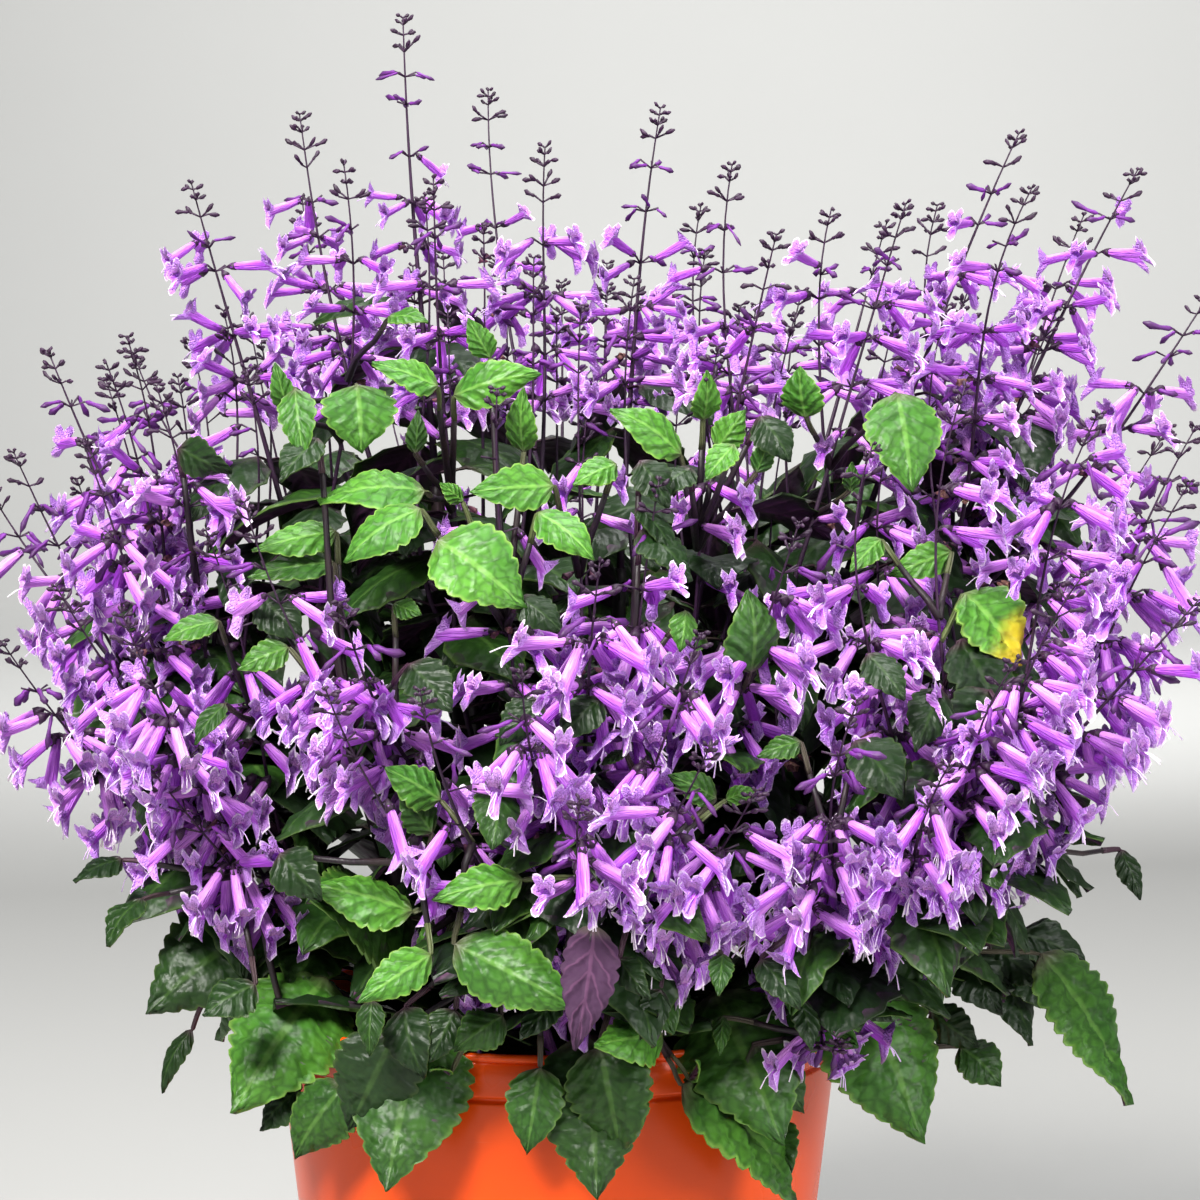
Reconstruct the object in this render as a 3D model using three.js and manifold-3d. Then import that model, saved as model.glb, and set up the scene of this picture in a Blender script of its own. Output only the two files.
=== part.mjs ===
// Potted mona lavender plectranthus: a plastic pot, its soil, thirteen square stems that fan out
// of it, the flower spike that ends each stem, the side spikes, and the largest leaves.
// Millimetres, +Z up, the origin at the middle of the pot's base, the front towards -Y.

import * as THREE from "three";
import Module from "manifold-3d";
import { mergeVertices } from "three/addons/utils/BufferGeometryUtils.js";

const wasm = await Module();
wasm.setup();

// Pot
const potHeight = 190;
const rimRadius = 114;
const rimBandHeight = 17;
const shoulderRadius = 112;
const baseRadius = 92;
const grooveDepth = 1.4;
const grooveHeight = 2;
const potWall = 2.4;
const potFloor = 3;
const beadHeight = 2.8;
const potSides = 48;
const drainHoles = 4;
const drainHoleRadius = 5;
const drainHoleCircle = 58;

// Soil
const soilEdgeHeight = 175;
const soilMound = 3;
const seatGap = 0.3;

// Stems
const stemDepth = 14;
const stemFootWidth = 7.6;
const stemTopWidth = 4.6;
const stemRings = 9;
const footCircleLeast = 12;
const footCircleShare = 0.18;

// Flower spikes
const rachisRadius = 1.9;
const stalkRadius = 2.1;
const budHeadLength = 34;
const whorlPitch = 21;
const whorlReach = 19;
const whorlNotch = 0.62;
const bareBelowBloom = 24;
const spikeSides = 8;
const leanAtEdge = 29;
const edgeReach = 255;
const lowSpikeHeight = 420;
const lowSpikeLean = 20;
const lowSpikeSpan = 150;
const leanCentreX = -20;

// Leaves
const leastPetioleShare = 0.3;
const bladeLengthOverWidth = 1.55;
const petioleWidth = 2.6;
const leafThickness = 1.3;
const leafCup = 0.22;

// Main stems, each by the tip of the spike that ends it (across, deep, high), with its whorls.
const mainTips = [
  [-60, -20, 582, 6],
  [41, 0, 548, 6],
  [-141, -40, 517, 6],
  [-200, -20, 452, 5],
  [-45, -95, 517, 6],
  [82, -110, 496, 6],
  [181, -20, 537, 6],
  [232, 10, 524, 6],
  [233, -150, 364, 5],
  [17, -195, 381, 5],
  [-110, 110, 515, 5],
  [140, 120, 505, 5],
  [0, 175, 480, 5],
];

// Side spikes: the main stem that bears it, how far up that stem, its tip and its whorls.
const sideSpikes = [
  [0, 0.8, -103, 10, 546, 5],
  [4, 0.85, -4, -60, 530, 5],
  [5, 0.75, 132, -80, 508, 5],
  [7, 0.85, 258, -25, 478, 5],
  [8, 0.9, 244, -70, 424, 4],
  [3, 0.6, -185, -110, 366, 4],
  [4, 0.5, -74, -185, 366, 4],
  [9, 0.6, -45, -215, 338, 4],
  [5, 0.55, 88, -165, 393, 4],
  [8, 0.75, 141, -185, 310, 3],
  [1, 0.75, -30, 90, 560, 5],
  [12, 0.8, 85, 195, 445, 4],
  [10, 0.8, -180, 90, 450, 4],
  [11, 0.8, 210, 120, 440, 4],
  [12, 0.6, 0, 225, 390, 4],
  [3, 0.8, -234, 30, 398, 4],
  [10, 0.5, -100, 215, 350, 4],
  [11, 0.5, 110, 225, 345, 4],
];

// Largest leaves: the main stem that bears it, how far up, where its tip hangs, its width, and
// how far it is rolled about its midrib, in degrees.
const leaves = [
  [2, 0.2, -122, -95, 164, 46, -38],
  [4, 0.32, -89, -150, 254, 42, -55],
  [9, 0.4, 16, -132, 140, 40, 8],
  [5, 0.2, 85, -122, 158, 46, 32],
  [8, 0.45, 140, -82, 150, 46, 48],
  [4, 0.2, -62, -128, 142, 44, -14],
  [8, 0.7, 218, -85, 165, 42, 40],
  [3, 0.35, -158, -62, 196, 44, -46],
  [5, 0.25, 114, -108, 192, 42, 48],
  [10, 0.2, -100, 112, 160, 44, 0],
  [12, 0.22, -5, 142, 150, 46, 4],
  [11, 0.2, 112, 98, 160, 46, 0],
  [7, 0.3, 160, 42, 185, 44, 10],
  [3, 0.2, -140, 40, 165, 44, -12],
];

const up = new THREE.Vector3(0, 0, 1);

function material(color, roughness, metalness = 0) {
  return new THREE.MeshStandardMaterial({ color, roughness, metalness });
}

const potPlastic = material(0xe44e20, 0.3);
const pottingSoil = material(0x3a2a20, 0.95);
const stemSkin = material(0x2a0f2c, 0.5);
const flowerLavender = material(0xaa66dd, 0.55);
const leafGreen = material(0x467a38, 0.5);

// A repeatable value from -1 to 1 for a piece's number and a use of it.
function wobble(index, use) {
  const v = Math.sin(index * 12.9898 + use * 78.233) * 43758.5453;
  return 2 * (v - Math.floor(v)) - 1;
}

function solid(geometry) {
  const bare = geometry.clone();
  bare.deleteAttribute("normal");
  bare.deleteAttribute("uv");
  const merged = mergeVertices(bare, 1e-4);
  const vertProperties = new Float32Array(merged.attributes.position.array);
  const triVerts = new Uint32Array(merged.index.array);
  return new wasm.Manifold(new wasm.Mesh({ numProp: 3, vertProperties, triVerts }));
}

function geometryOf(manifold) {
  const mesh = manifold.getMesh();
  const geometry = new THREE.BufferGeometry();
  const places = new Float32Array(mesh.vertProperties);
  geometry.setAttribute("position", new THREE.BufferAttribute(places, 3));
  geometry.setIndex(new THREE.BufferAttribute(new Uint32Array(mesh.triVerts), 1));
  return geometry;
}

// A closed skin over rings of points that all run the same way round, with flat ends.
function loft(rings) {
  const count = rings[0].length;
  const places = rings.flat().flatMap((p) => [p.x, p.y, p.z]);
  const faces = [];
  for (let i = 0; i + 1 < rings.length; i++) {
    for (let j = 0; j < count; j++) {
      const k = (j + 1) % count;
      const low = i * count;
      const high = low + count;
      faces.push(low + j, low + k, high + k);
      faces.push(low + j, high + k, high + j);
    }
  }
  const last = (rings.length - 1) * count;
  for (let j = 1; j + 1 < count; j++) {
    faces.push(0, j + 1, j);
    faces.push(last, last + j, last + j + 1);
  }
  const geometry = new THREE.BufferGeometry();
  geometry.setAttribute("position", new THREE.Float32BufferAttribute(places, 3));
  geometry.setIndex(faces);
  return geometry;
}

// Directions across a path at each station, turned as little as possible along it.
function crossFrames(path, stations) {
  const frames = [];
  let normal = new THREE.Vector3(1, 0, 0);
  for (const u of stations) {
    const along = path.getTangentAt(u);
    normal = normal.clone().addScaledVector(along, -normal.dot(along)).normalize();
    const side = along.clone().cross(normal);
    frames.push({ centre: path.getPointAt(u), along, normal, side });
  }
  return frames;
}

function ring(frame, sides, radiusAt, turn = 0) {
  const points = [];
  for (let j = 0; j < sides; j++) {
    const angle = turn + (2 * Math.PI * j) / sides;
    const radius = radiusAt(j);
    const point = frame.centre.clone();
    point.addScaledVector(frame.normal, radius * Math.cos(angle));
    point.addScaledVector(frame.side, radius * Math.sin(angle));
    points.push(point);
  }
  return points;
}

// The way a spike points at its tip: more outward near the plant's edge and low on it.
function tipDirection(tip, index) {
  const outX = tip.x - leanCentreX;
  const low = Math.max(0, (lowSpikeHeight - tip.z) / lowSpikeSpan);
  const atEdge = Math.hypot(outX, tip.y) / edgeReach;
  const lean = leanAtEdge * atEdge + lowSpikeLean * low + 4 * wobble(index, 1);
  const tilt = THREE.MathUtils.degToRad(lean);
  const heading = Math.atan2(tip.y, outX) + 0.15 * wobble(index, 2);
  const across = Math.sin(tilt);
  return new THREE.Vector3(
    across * Math.cos(heading),
    across * Math.sin(heading),
    Math.cos(tilt),
  );
}

// From a foot in the soil, outward and then up to the tip.
function mainPath([x, y, z], index) {
  const tip = new THREE.Vector3(x, y, z);
  const foot = new THREE.Vector3(x, y, 0);
  foot.setLength(footCircleLeast + footCircleShare * foot.length());
  foot.z = soilEdgeHeight - stemDepth;
  const span = tip.clone().sub(foot);
  const length = span.length();
  const start = span.clone().setZ(0.8 * span.z).normalize();
  const p1 = foot.clone().addScaledVector(start, 0.3 * length);
  const p2 = tip.clone().addScaledVector(tipDirection(tip, index), -0.4 * length);
  return new THREE.CubicBezierCurve3(foot, p1, p2, tip);
}

// From the middle of the parent stem, first much as the parent runs, then up to the tip.
function sidePath(parent, along, [x, y, z], index) {
  const tip = new THREE.Vector3(x, y, z);
  const u = along * parent.stemShare;
  const root = parent.path.getPointAt(u);
  const span = tip.clone().sub(root);
  const length = span.length();
  const outward = span.clone().setZ(0).normalize();
  const start = parent.path.getTangentAt(u).addScaledVector(outward, 0.8).normalize();
  const p1 = root.clone().addScaledVector(start, 0.3 * length);
  const p2 = tip.clone().addScaledVector(tipDirection(tip, index), -0.4 * length);
  return new THREE.CubicBezierCurve3(root, p1, p2, tip);
}

function evenStations(from, to, count) {
  return Array.from({ length: count }, (_, i) => from + ((to - from) * i) / (count - 1));
}

// A square stem that narrows from the soil to its top; grown is added all round.
function stemSolid(path, share, grown = 0) {
  const frames = crossFrames(path, evenStations(0, share, stemRings));
  frames[0].centre.addScaledVector(frames[0].along, -grown);
  frames[stemRings - 1].centre.addScaledVector(frames[stemRings - 1].along, grown);
  const rings = frames.map((frame, i) => {
    const width = THREE.MathUtils.lerp(stemFootWidth, stemTopWidth, i / (stemRings - 1));
    const corner = (width / 2 + grown) * Math.SQRT2;
    return ring(frame, 4, () => corner, Math.PI / 4);
  });
  return solid(loft(rings));
}

// Distances from a spike's tip down its rachis, with the radius there and which arms are long.
function spikeProfile(length, whorls, pinch) {
  const rows = [
    { down: 0, radius: 0.9 },
    { down: 4, radius: 3.2 },
    { down: 12, radius: 2.2 },
    { down: 19, radius: 4.8 },
    { down: 26, radius: 2 },
  ];
  let down = budHeadLength;
  for (let k = 0; k < whorls && down + whorlPitch < length; k++) {
    const young = Math.min(1, 0.7 + 0.15 * k);
    const reach = Math.max(rachisRadius + 1.5, whorlReach * pinch * young);
    rows.push({ down: down - 3, radius: rachisRadius });
    rows.push({ down: down + 4, radius: 0.7 * reach, arms: k % 2 });
    rows.push({ down: down + 12, radius: reach, arms: k % 2 });
    down += whorlPitch;
  }
  rows.push({ down: down - 3, radius: rachisRadius });
  const stalk = length - down;
  const bends = Math.max(1, Math.ceil(stalk / 35));
  for (let i = 1; i <= bends; i++) {
    rows.push({ down: down - 3 + ((stalk + 3) * i) / bends, radius: stalkRadius });
  }
  return rows.reverse();
}

function spikeSolid(path, from, whorls, pinch, grown = 0) {
  const whole = path.getLength();
  const rows = spikeProfile(whole * (1 - from), whorls, pinch);
  const frames = crossFrames(path, rows.map((row) => Math.max(0, 1 - row.down / whole)));
  const rings = rows.map((row, i) =>
    ring(frames[i], spikeSides, (j) => {
      const short = row.arms !== undefined && j % 2 !== row.arms;
      return row.radius * (short ? whorlNotch : 1) + grown;
    }),
  );
  return solid(loft(rings));
}

// A petiole and a blade in one, arched from the stem to the hanging tip, creased at its midrib.
function leafSolid(root, tip, width, roll, arch, grown = 0) {
  const level = tip.clone().sub(root).setZ(0);
  const bend = root.clone().addScaledVector(level, 0.8).addScaledVector(up, arch);
  const path = new THREE.QuadraticBezierCurve3(root, bend, tip);
  const bladeShare = (bladeLengthOverWidth * width) / path.getLength();
  const petioleShare = Math.max(leastPetioleShare, 1 - bladeShare);
  const blade = (share) => petioleShare + (1 - petioleShare) * share;
  const stations = [
    [0, petioleWidth / width],
    [blade(0), petioleWidth / width],
    [blade(0.12), 0.62],
    [blade(0.32), 1],
    [blade(0.55), 0.93],
    [blade(0.78), 0.6],
    [blade(0.92), 0.28],
    [1, 0.05],
  ];
  const rings = stations.map(([u, share]) => {
    const centre = path.getPointAt(u);
    const along = path.getTangentAt(u);
    const across = level.clone().cross(up).normalize().applyAxisAngle(along, roll);
    const face = across.clone().cross(along);
    const half = (width * share) / 2;
    const cupped = u > petioleShare && u < 1 ? leafCup * half : 0;
    const edge = centre.clone().addScaledVector(face, -cupped);
    const thick = leafThickness / 2 + grown;
    return [
      edge.clone().addScaledVector(across, half + grown),
      centre.clone().addScaledVector(face, thick),
      edge.clone().addScaledVector(across, -half - grown),
      centre.clone().addScaledVector(face, -thick),
    ];
  });
  const body = solid(loft(rings));
  return body.volume() > 0 ? body : solid(loft(rings.map((points) => points.reverse())));
}

const plant = new THREE.Group();
const placed = [];

function place(name, manifold, finish) {
  const mesh = new THREE.Mesh(geometryOf(manifold), finish);
  mesh.name = name;
  plant.add(mesh);
  placed.push(manifold);
}

function apart(a, b) {
  const one = a.boundingBox();
  const two = b.boundingBox();
  return [0, 1, 2].some((i) => one.max[i] < two.min[i] || two.max[i] < one.min[i]);
}

function clearOfAll(manifold) {
  return placed.every((other) => apart(manifold, other) || manifold.intersect(other).isEmpty());
}

// The first of some shapes that clears everything placed so far, each tried a little swollen.
function firstClear(choices, build) {
  for (const choice of choices) {
    if (clearOfAll(build(choice, seatGap * 0.9))) {
      return build(choice, 0);
    }
  }
  throw new Error(`piece ${placed.length + 1} finds no clear place`);
}

function numbered(name, index) {
  return `${name}_${String(index + 1).padStart(2, "0")}`;
}

function latheSolid(profile) {
  const points = profile.map(([radius, height]) => new THREE.Vector2(radius, height));
  const turned = new THREE.LatheGeometry(points, potSides);
  turned.rotateX(Math.PI / 2);
  return solid(turned);
}

function upright(radius, height, sides) {
  return new THREE.CylinderGeometry(radius, radius, height, sides).rotateX(Math.PI / 2);
}

const bandFoot = potHeight - rimBandHeight;
const beadFoot = potHeight - beadHeight;
const grooveFoot = bandFoot - grooveHeight;
const bandRadius = rimRadius - 1.4;

function wallInside(height) {
  const slope = (shoulderRadius - baseRadius) / grooveFoot;
  return baseRadius - potWall + slope * height;
}

function potSolid() {
  const shell = latheSolid([
    [0, 0],
    [baseRadius - 2, 0],
    [baseRadius, 2],
    [shoulderRadius, grooveFoot],
    [shoulderRadius - grooveDepth, grooveFoot + 0.4],
    [shoulderRadius - grooveDepth, bandFoot - 0.4],
    [bandRadius, bandFoot],
    [bandRadius, beadFoot - 1],
    [bandRadius - 1, beadFoot],
    [rimRadius - 0.6, beadFoot + 0.5],
    [rimRadius, potHeight - 1],
    [rimRadius - 0.8, potHeight],
    [rimRadius - 3, potHeight],
    [bandRadius - potWall, beadFoot],
    [bandRadius - potWall, bandFoot + 3],
    [wallInside(grooveFoot - 4), grooveFoot - 4],
    [wallInside(potFloor), potFloor],
    [0, potFloor],
  ]);
  let pot = shell;
  for (let i = 0; i < drainHoles; i++) {
    const angle = (2 * Math.PI * (i + 0.5)) / drainHoles;
    const hole = upright(drainHoleRadius, 4 * potFloor, 12);
    hole.translate(drainHoleCircle * Math.cos(angle), drainHoleCircle * Math.sin(angle), 0);
    pot = pot.subtract(solid(hole));
  }
  return pot;
}

function soilSolid(sockets) {
  const edge = (height) => wallInside(height) - seatGap - 0.1;
  const low = potFloor + seatGap;
  let soil = latheSolid([
    [0, low],
    [edge(low), low],
    [edge(bandFoot - 4), bandFoot - 4],
    [edge(bandFoot - 4), soilEdgeHeight],
    [0.5 * edge(bandFoot), soilEdgeHeight + 0.8 * soilMound],
    [0, soilEdgeHeight + soilMound],
  ]);
  for (const socket of sockets) {
    soil = soil.subtract(socket);
  }
  return soil;
}

const stems = mainTips.map((row, index) => {
  const path = mainPath(row, index);
  const bloom = budHeadLength + whorlPitch * row[3] + bareBelowBloom;
  const stemShare = 1 - bloom / path.getLength();
  return { path, stemShare, whorls: row[3] };
});

place("pot", potSolid(), potPlastic);
const grownStems = stems.map((stem) => stemSolid(stem.path, stem.stemShare, seatGap));
place("potting_soil", soilSolid(grownStems), pottingSoil);
stems.forEach((stem, index) => {
  const body = firstClear([0], (_, grown) => stemSolid(stem.path, stem.stemShare, grown));
  place(numbered("main_stem", index), body, stemSkin);
});

const pinches = [1, 0.85, 0.7, 0.55, 0.4, 0.25];
stems.forEach((stem, index) => {
  const from = stem.stemShare + seatGap / stem.path.getLength();
  const body = firstClear(pinches, (pinch, grown) =>
    spikeSolid(stem.path, from, stem.whorls, pinch, grown),
  );
  place(numbered("flower_spike", index), body, flowerLavender);
});

sideSpikes.forEach(([parent, along, x, y, z, whorls], i) => {
  const index = stems.length + i;
  const path = sidePath(stems[parent], along, [x, y, z], index);
  const body = firstClear(pinches, (pinch, grown) =>
    spikeSolid(path, 0, whorls, pinch, grown).subtract(grownStems[parent]),
  );
  place(numbered("flower_spike", index), body, flowerLavender);
});

const archHeights = [38, 30, 46, 22, 54, 14, 62, 70, 6];
leaves.forEach(([parent, along, x, y, z, width, turn], index) => {
  const root = stems[parent].path.getPointAt(along * stems[parent].stemShare);
  const tip = new THREE.Vector3(x, y, z);
  const roll = THREE.MathUtils.degToRad(turn);
  const body = firstClear(archHeights, (arch, grown) =>
    leafSolid(root, tip, width, roll, arch, grown).subtract(grownStems[parent]),
  );
  place(numbered("leaf", index), body, leafGreen);
});

export default plant;
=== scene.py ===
"""Potted plectranthus: the finished look of the pot, soil, stems, leaves and flower spikes.

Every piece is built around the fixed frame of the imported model. Lengths are millimetres, as in
the model's source, and become metres where a mesh is made. +Z is up and the front is -Y.
"""

import functools
import math
from collections import defaultdict

import bpy
import numpy as np
from bpy.props import FloatProperty, FloatVectorProperty, IntProperty, PointerProperty
from mathutils import Matrix, Vector, noise


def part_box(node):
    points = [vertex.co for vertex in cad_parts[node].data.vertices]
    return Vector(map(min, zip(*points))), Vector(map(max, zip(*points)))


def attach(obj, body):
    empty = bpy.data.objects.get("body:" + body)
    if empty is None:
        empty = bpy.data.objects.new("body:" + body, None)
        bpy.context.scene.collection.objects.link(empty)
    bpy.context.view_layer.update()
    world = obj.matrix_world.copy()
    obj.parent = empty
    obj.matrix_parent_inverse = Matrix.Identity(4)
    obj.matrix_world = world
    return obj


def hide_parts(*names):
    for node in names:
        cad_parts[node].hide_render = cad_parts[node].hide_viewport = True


bl_info = {
    "name": "Potted Plectranthus",
    "version": (1, 0, 0),
    "blender": (4, 5, 0),
    "location": "View3D > Sidebar > Plectranthus",
    "description": "Builds a potted plectranthus in bloom around its fixed frame",
    "category": "Object",
}

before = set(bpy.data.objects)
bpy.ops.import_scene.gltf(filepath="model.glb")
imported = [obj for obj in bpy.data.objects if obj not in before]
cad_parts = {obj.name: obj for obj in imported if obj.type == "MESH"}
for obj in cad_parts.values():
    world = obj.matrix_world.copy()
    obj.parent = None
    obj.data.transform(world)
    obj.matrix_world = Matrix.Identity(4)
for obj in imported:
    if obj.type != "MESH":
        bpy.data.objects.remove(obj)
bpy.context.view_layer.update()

MM = 0.001
UP = np.array([0.0, 0.0, 1.0])


def colour(red, green, blue):
    """Display values from 0 to 255, as the linear colour that a shader takes."""
    return tuple(
        v / 12.92 if v <= 0.04045 else ((v + 0.055) / 1.055) ** 2.4
        for v in (red / 255, green / 255, blue / 255)
    )


# Main stems, each by the tip of the spike that ends it (across, deep, high) and its whorls.
MAIN_TIPS = [
    (-60, -20, 582, 6), (41, 0, 548, 6), (-141, -40, 517, 6), (-200, -20, 452, 5),
    (-45, -95, 517, 6), (82, -110, 496, 6), (181, -20, 537, 6), (232, 10, 524, 6),
    (233, -150, 364, 5), (17, -195, 381, 5), (-110, 110, 515, 5), (140, 120, 505, 5),
    (0, 175, 480, 5),
]

# Side spikes: the main stem that bears it, how far up that stem, and its tip.
SIDE_SPIKES = [
    (0, 0.8, -103, 10, 546), (4, 0.85, -4, -60, 530), (5, 0.75, 132, -80, 508),
    (7, 0.85, 258, -25, 478), (8, 0.9, 244, -70, 424), (3, 0.6, -185, -110, 366),
    (4, 0.5, -74, -185, 366), (9, 0.6, -45, -215, 338), (5, 0.55, 88, -165, 393),
    (8, 0.75, 141, -185, 310), (1, 0.75, -30, 90, 560), (12, 0.8, 85, 195, 445),
    (10, 0.8, -180, 90, 450), (11, 0.8, 210, 120, 440), (12, 0.6, 0, 225, 390),
    (3, 0.8, -234, 30, 398), (10, 0.5, -100, 215, 350), (11, 0.5, 110, 225, 345),
]

# Finer spikes between them, by tip and by how full of open flowers they are. Above 1, a spike also
# flowers in front of leaves that show.
FINE_SPIKES = [
    (-80, -70, 523, 0.7), (-164, -60, 458, 0.5), (67, -70, 523, 0.85), (107, -30, 507, 0.6),
    (152, 10, 510, 0.7), (180, -75, 514, 0.85), (217, 60, 507, 0.7), (236, -110, 405, 0.8),
    (-211, -40, 413, 0.7), (-177, -90, 419, 0.6), (-212, -70, 342, 0.9), (-157, -140, 359, 0.9),
    (-127, -130, 388, 0.8), (-78, -205, 337, 0.95), (38, -165, 408, 0.9), (55, -210, 318, 0.95),
    (107, -200, 333, 0.95), (60, 110, 512, 0.6), (-80, 190, 440, 0.8), (160, 185, 390, 0.8),
    (250, 40, 420, 0.8), (10, 218, 320, 0.9), (-205, 110, 350, 0.9), (235, 120, 350, 0.9),
    (10, -215, 300, 0.95), (100, -190, 290, 0.95), (150, -150, 290, 0.9), (-150, -120, 300, 0.9),
    (106, -146, 202, 1.3), (0, -20, 466, 0.95), (-148, -30, 442, 0.95), (-118, -62, 446, 0.95),
    (72, -25, 470, 0.95), (-118, 0, 455, 0.95), (52, -200, 356, 0.95), (72, -190, 300, 0.95),
    (-50, 110, 492, 0.9), (20, 130, 488, 0.9), (85, 140, 470, 0.9), (-130, 70, 466, 0.9),
    (170, 95, 470, 0.9), (-60, 160, 455, 0.9), (-50, -60, 512, 0.0), (-28, -45, 500, 0.0),
    (-8, -75, 488, 0.0), (-172, -60, 448, 0.0), (150, -60, 470, 0.0), (-130, -30, 468, 0.9),
    (-100, 40, 480, 0.9), (-60, 50, 486, 0.9), (-20, -30, 490, 0.9), (20, 40, 478, 0.9),
    (60, 40, 492, 0.9), (100, 50, 476, 0.9), (130, -50, 462, 0.95), (170, 40, 482, 0.9),
    (200, 0, 470, 0.95), (-150, 30, 456, 0.9), (-40, -90, 468, 0.9), (30, -80, 480, 0.9),
    (90, -80, 464, 0.95), (-180, 0, 440, 0.8), (-20, -150, 440, 0.7), (150, -130, 440, 0.8),
    (200, -120, 430, 0.8), (115, -150, 420, 0.9), (60, -130, 455, 0.7), (-110, -160, 400, 0.8),
    (-10, -205, 345, 0.95), (190, -165, 375, 0.9), (165, -175, 345, 0.95), (-195, 20, 400, 0.8),
    (-150, -85, 440, 0.6), (10, -120, 470, 0.6), (48, -55, 438, 0.95), (90, -62, 434, 0.95),
    (12, -70, 430, 0.9), (128, -80, 426, 0.95),
]

# Largest leaves: the main stem that bears it, how far up, where its tip hangs, its width, how
# far it is rolled about its midrib, in degrees, how high it arches, and its tone.
BIG_LEAVES = [
    (2, 0.2, -122, -95, 164, 46, -38, 38, 0.6), (4, 0.32, -89, -150, 254, 42, -55, 38, 0.45),
    (9, 0.4, 16, -132, 140, 40, 8, 38, 0.25), (5, 0.2, 85, -122, 158, 46, 32, 46, 0.4),
    (8, 0.45, 140, -82, 150, 46, 48, 38, 0.6), (4, 0.2, -62, -128, 142, 44, -14, 46, 0.35),
    (8, 0.7, 218, -85, 165, 44, 34, 38, 0.45), (3, 0.35, -158, -62, 196, 44, -46, 38, 0.2),
    (5, 0.25, 114, -108, 192, 42, 48, 22, 0.45), (10, 0.2, -100, 112, 160, 44, 0, 38, 0.4),
    (12, 0.22, -5, 142, 150, 46, 4, 38, 0.6), (11, 0.2, 112, 98, 160, 46, 0, 38, 0.35),
    (7, 0.3, 160, 42, 185, 44, 10, 38, 0.5), (3, 0.2, -140, 40, 165, 44, -12, 38, 0.3),
]

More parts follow.
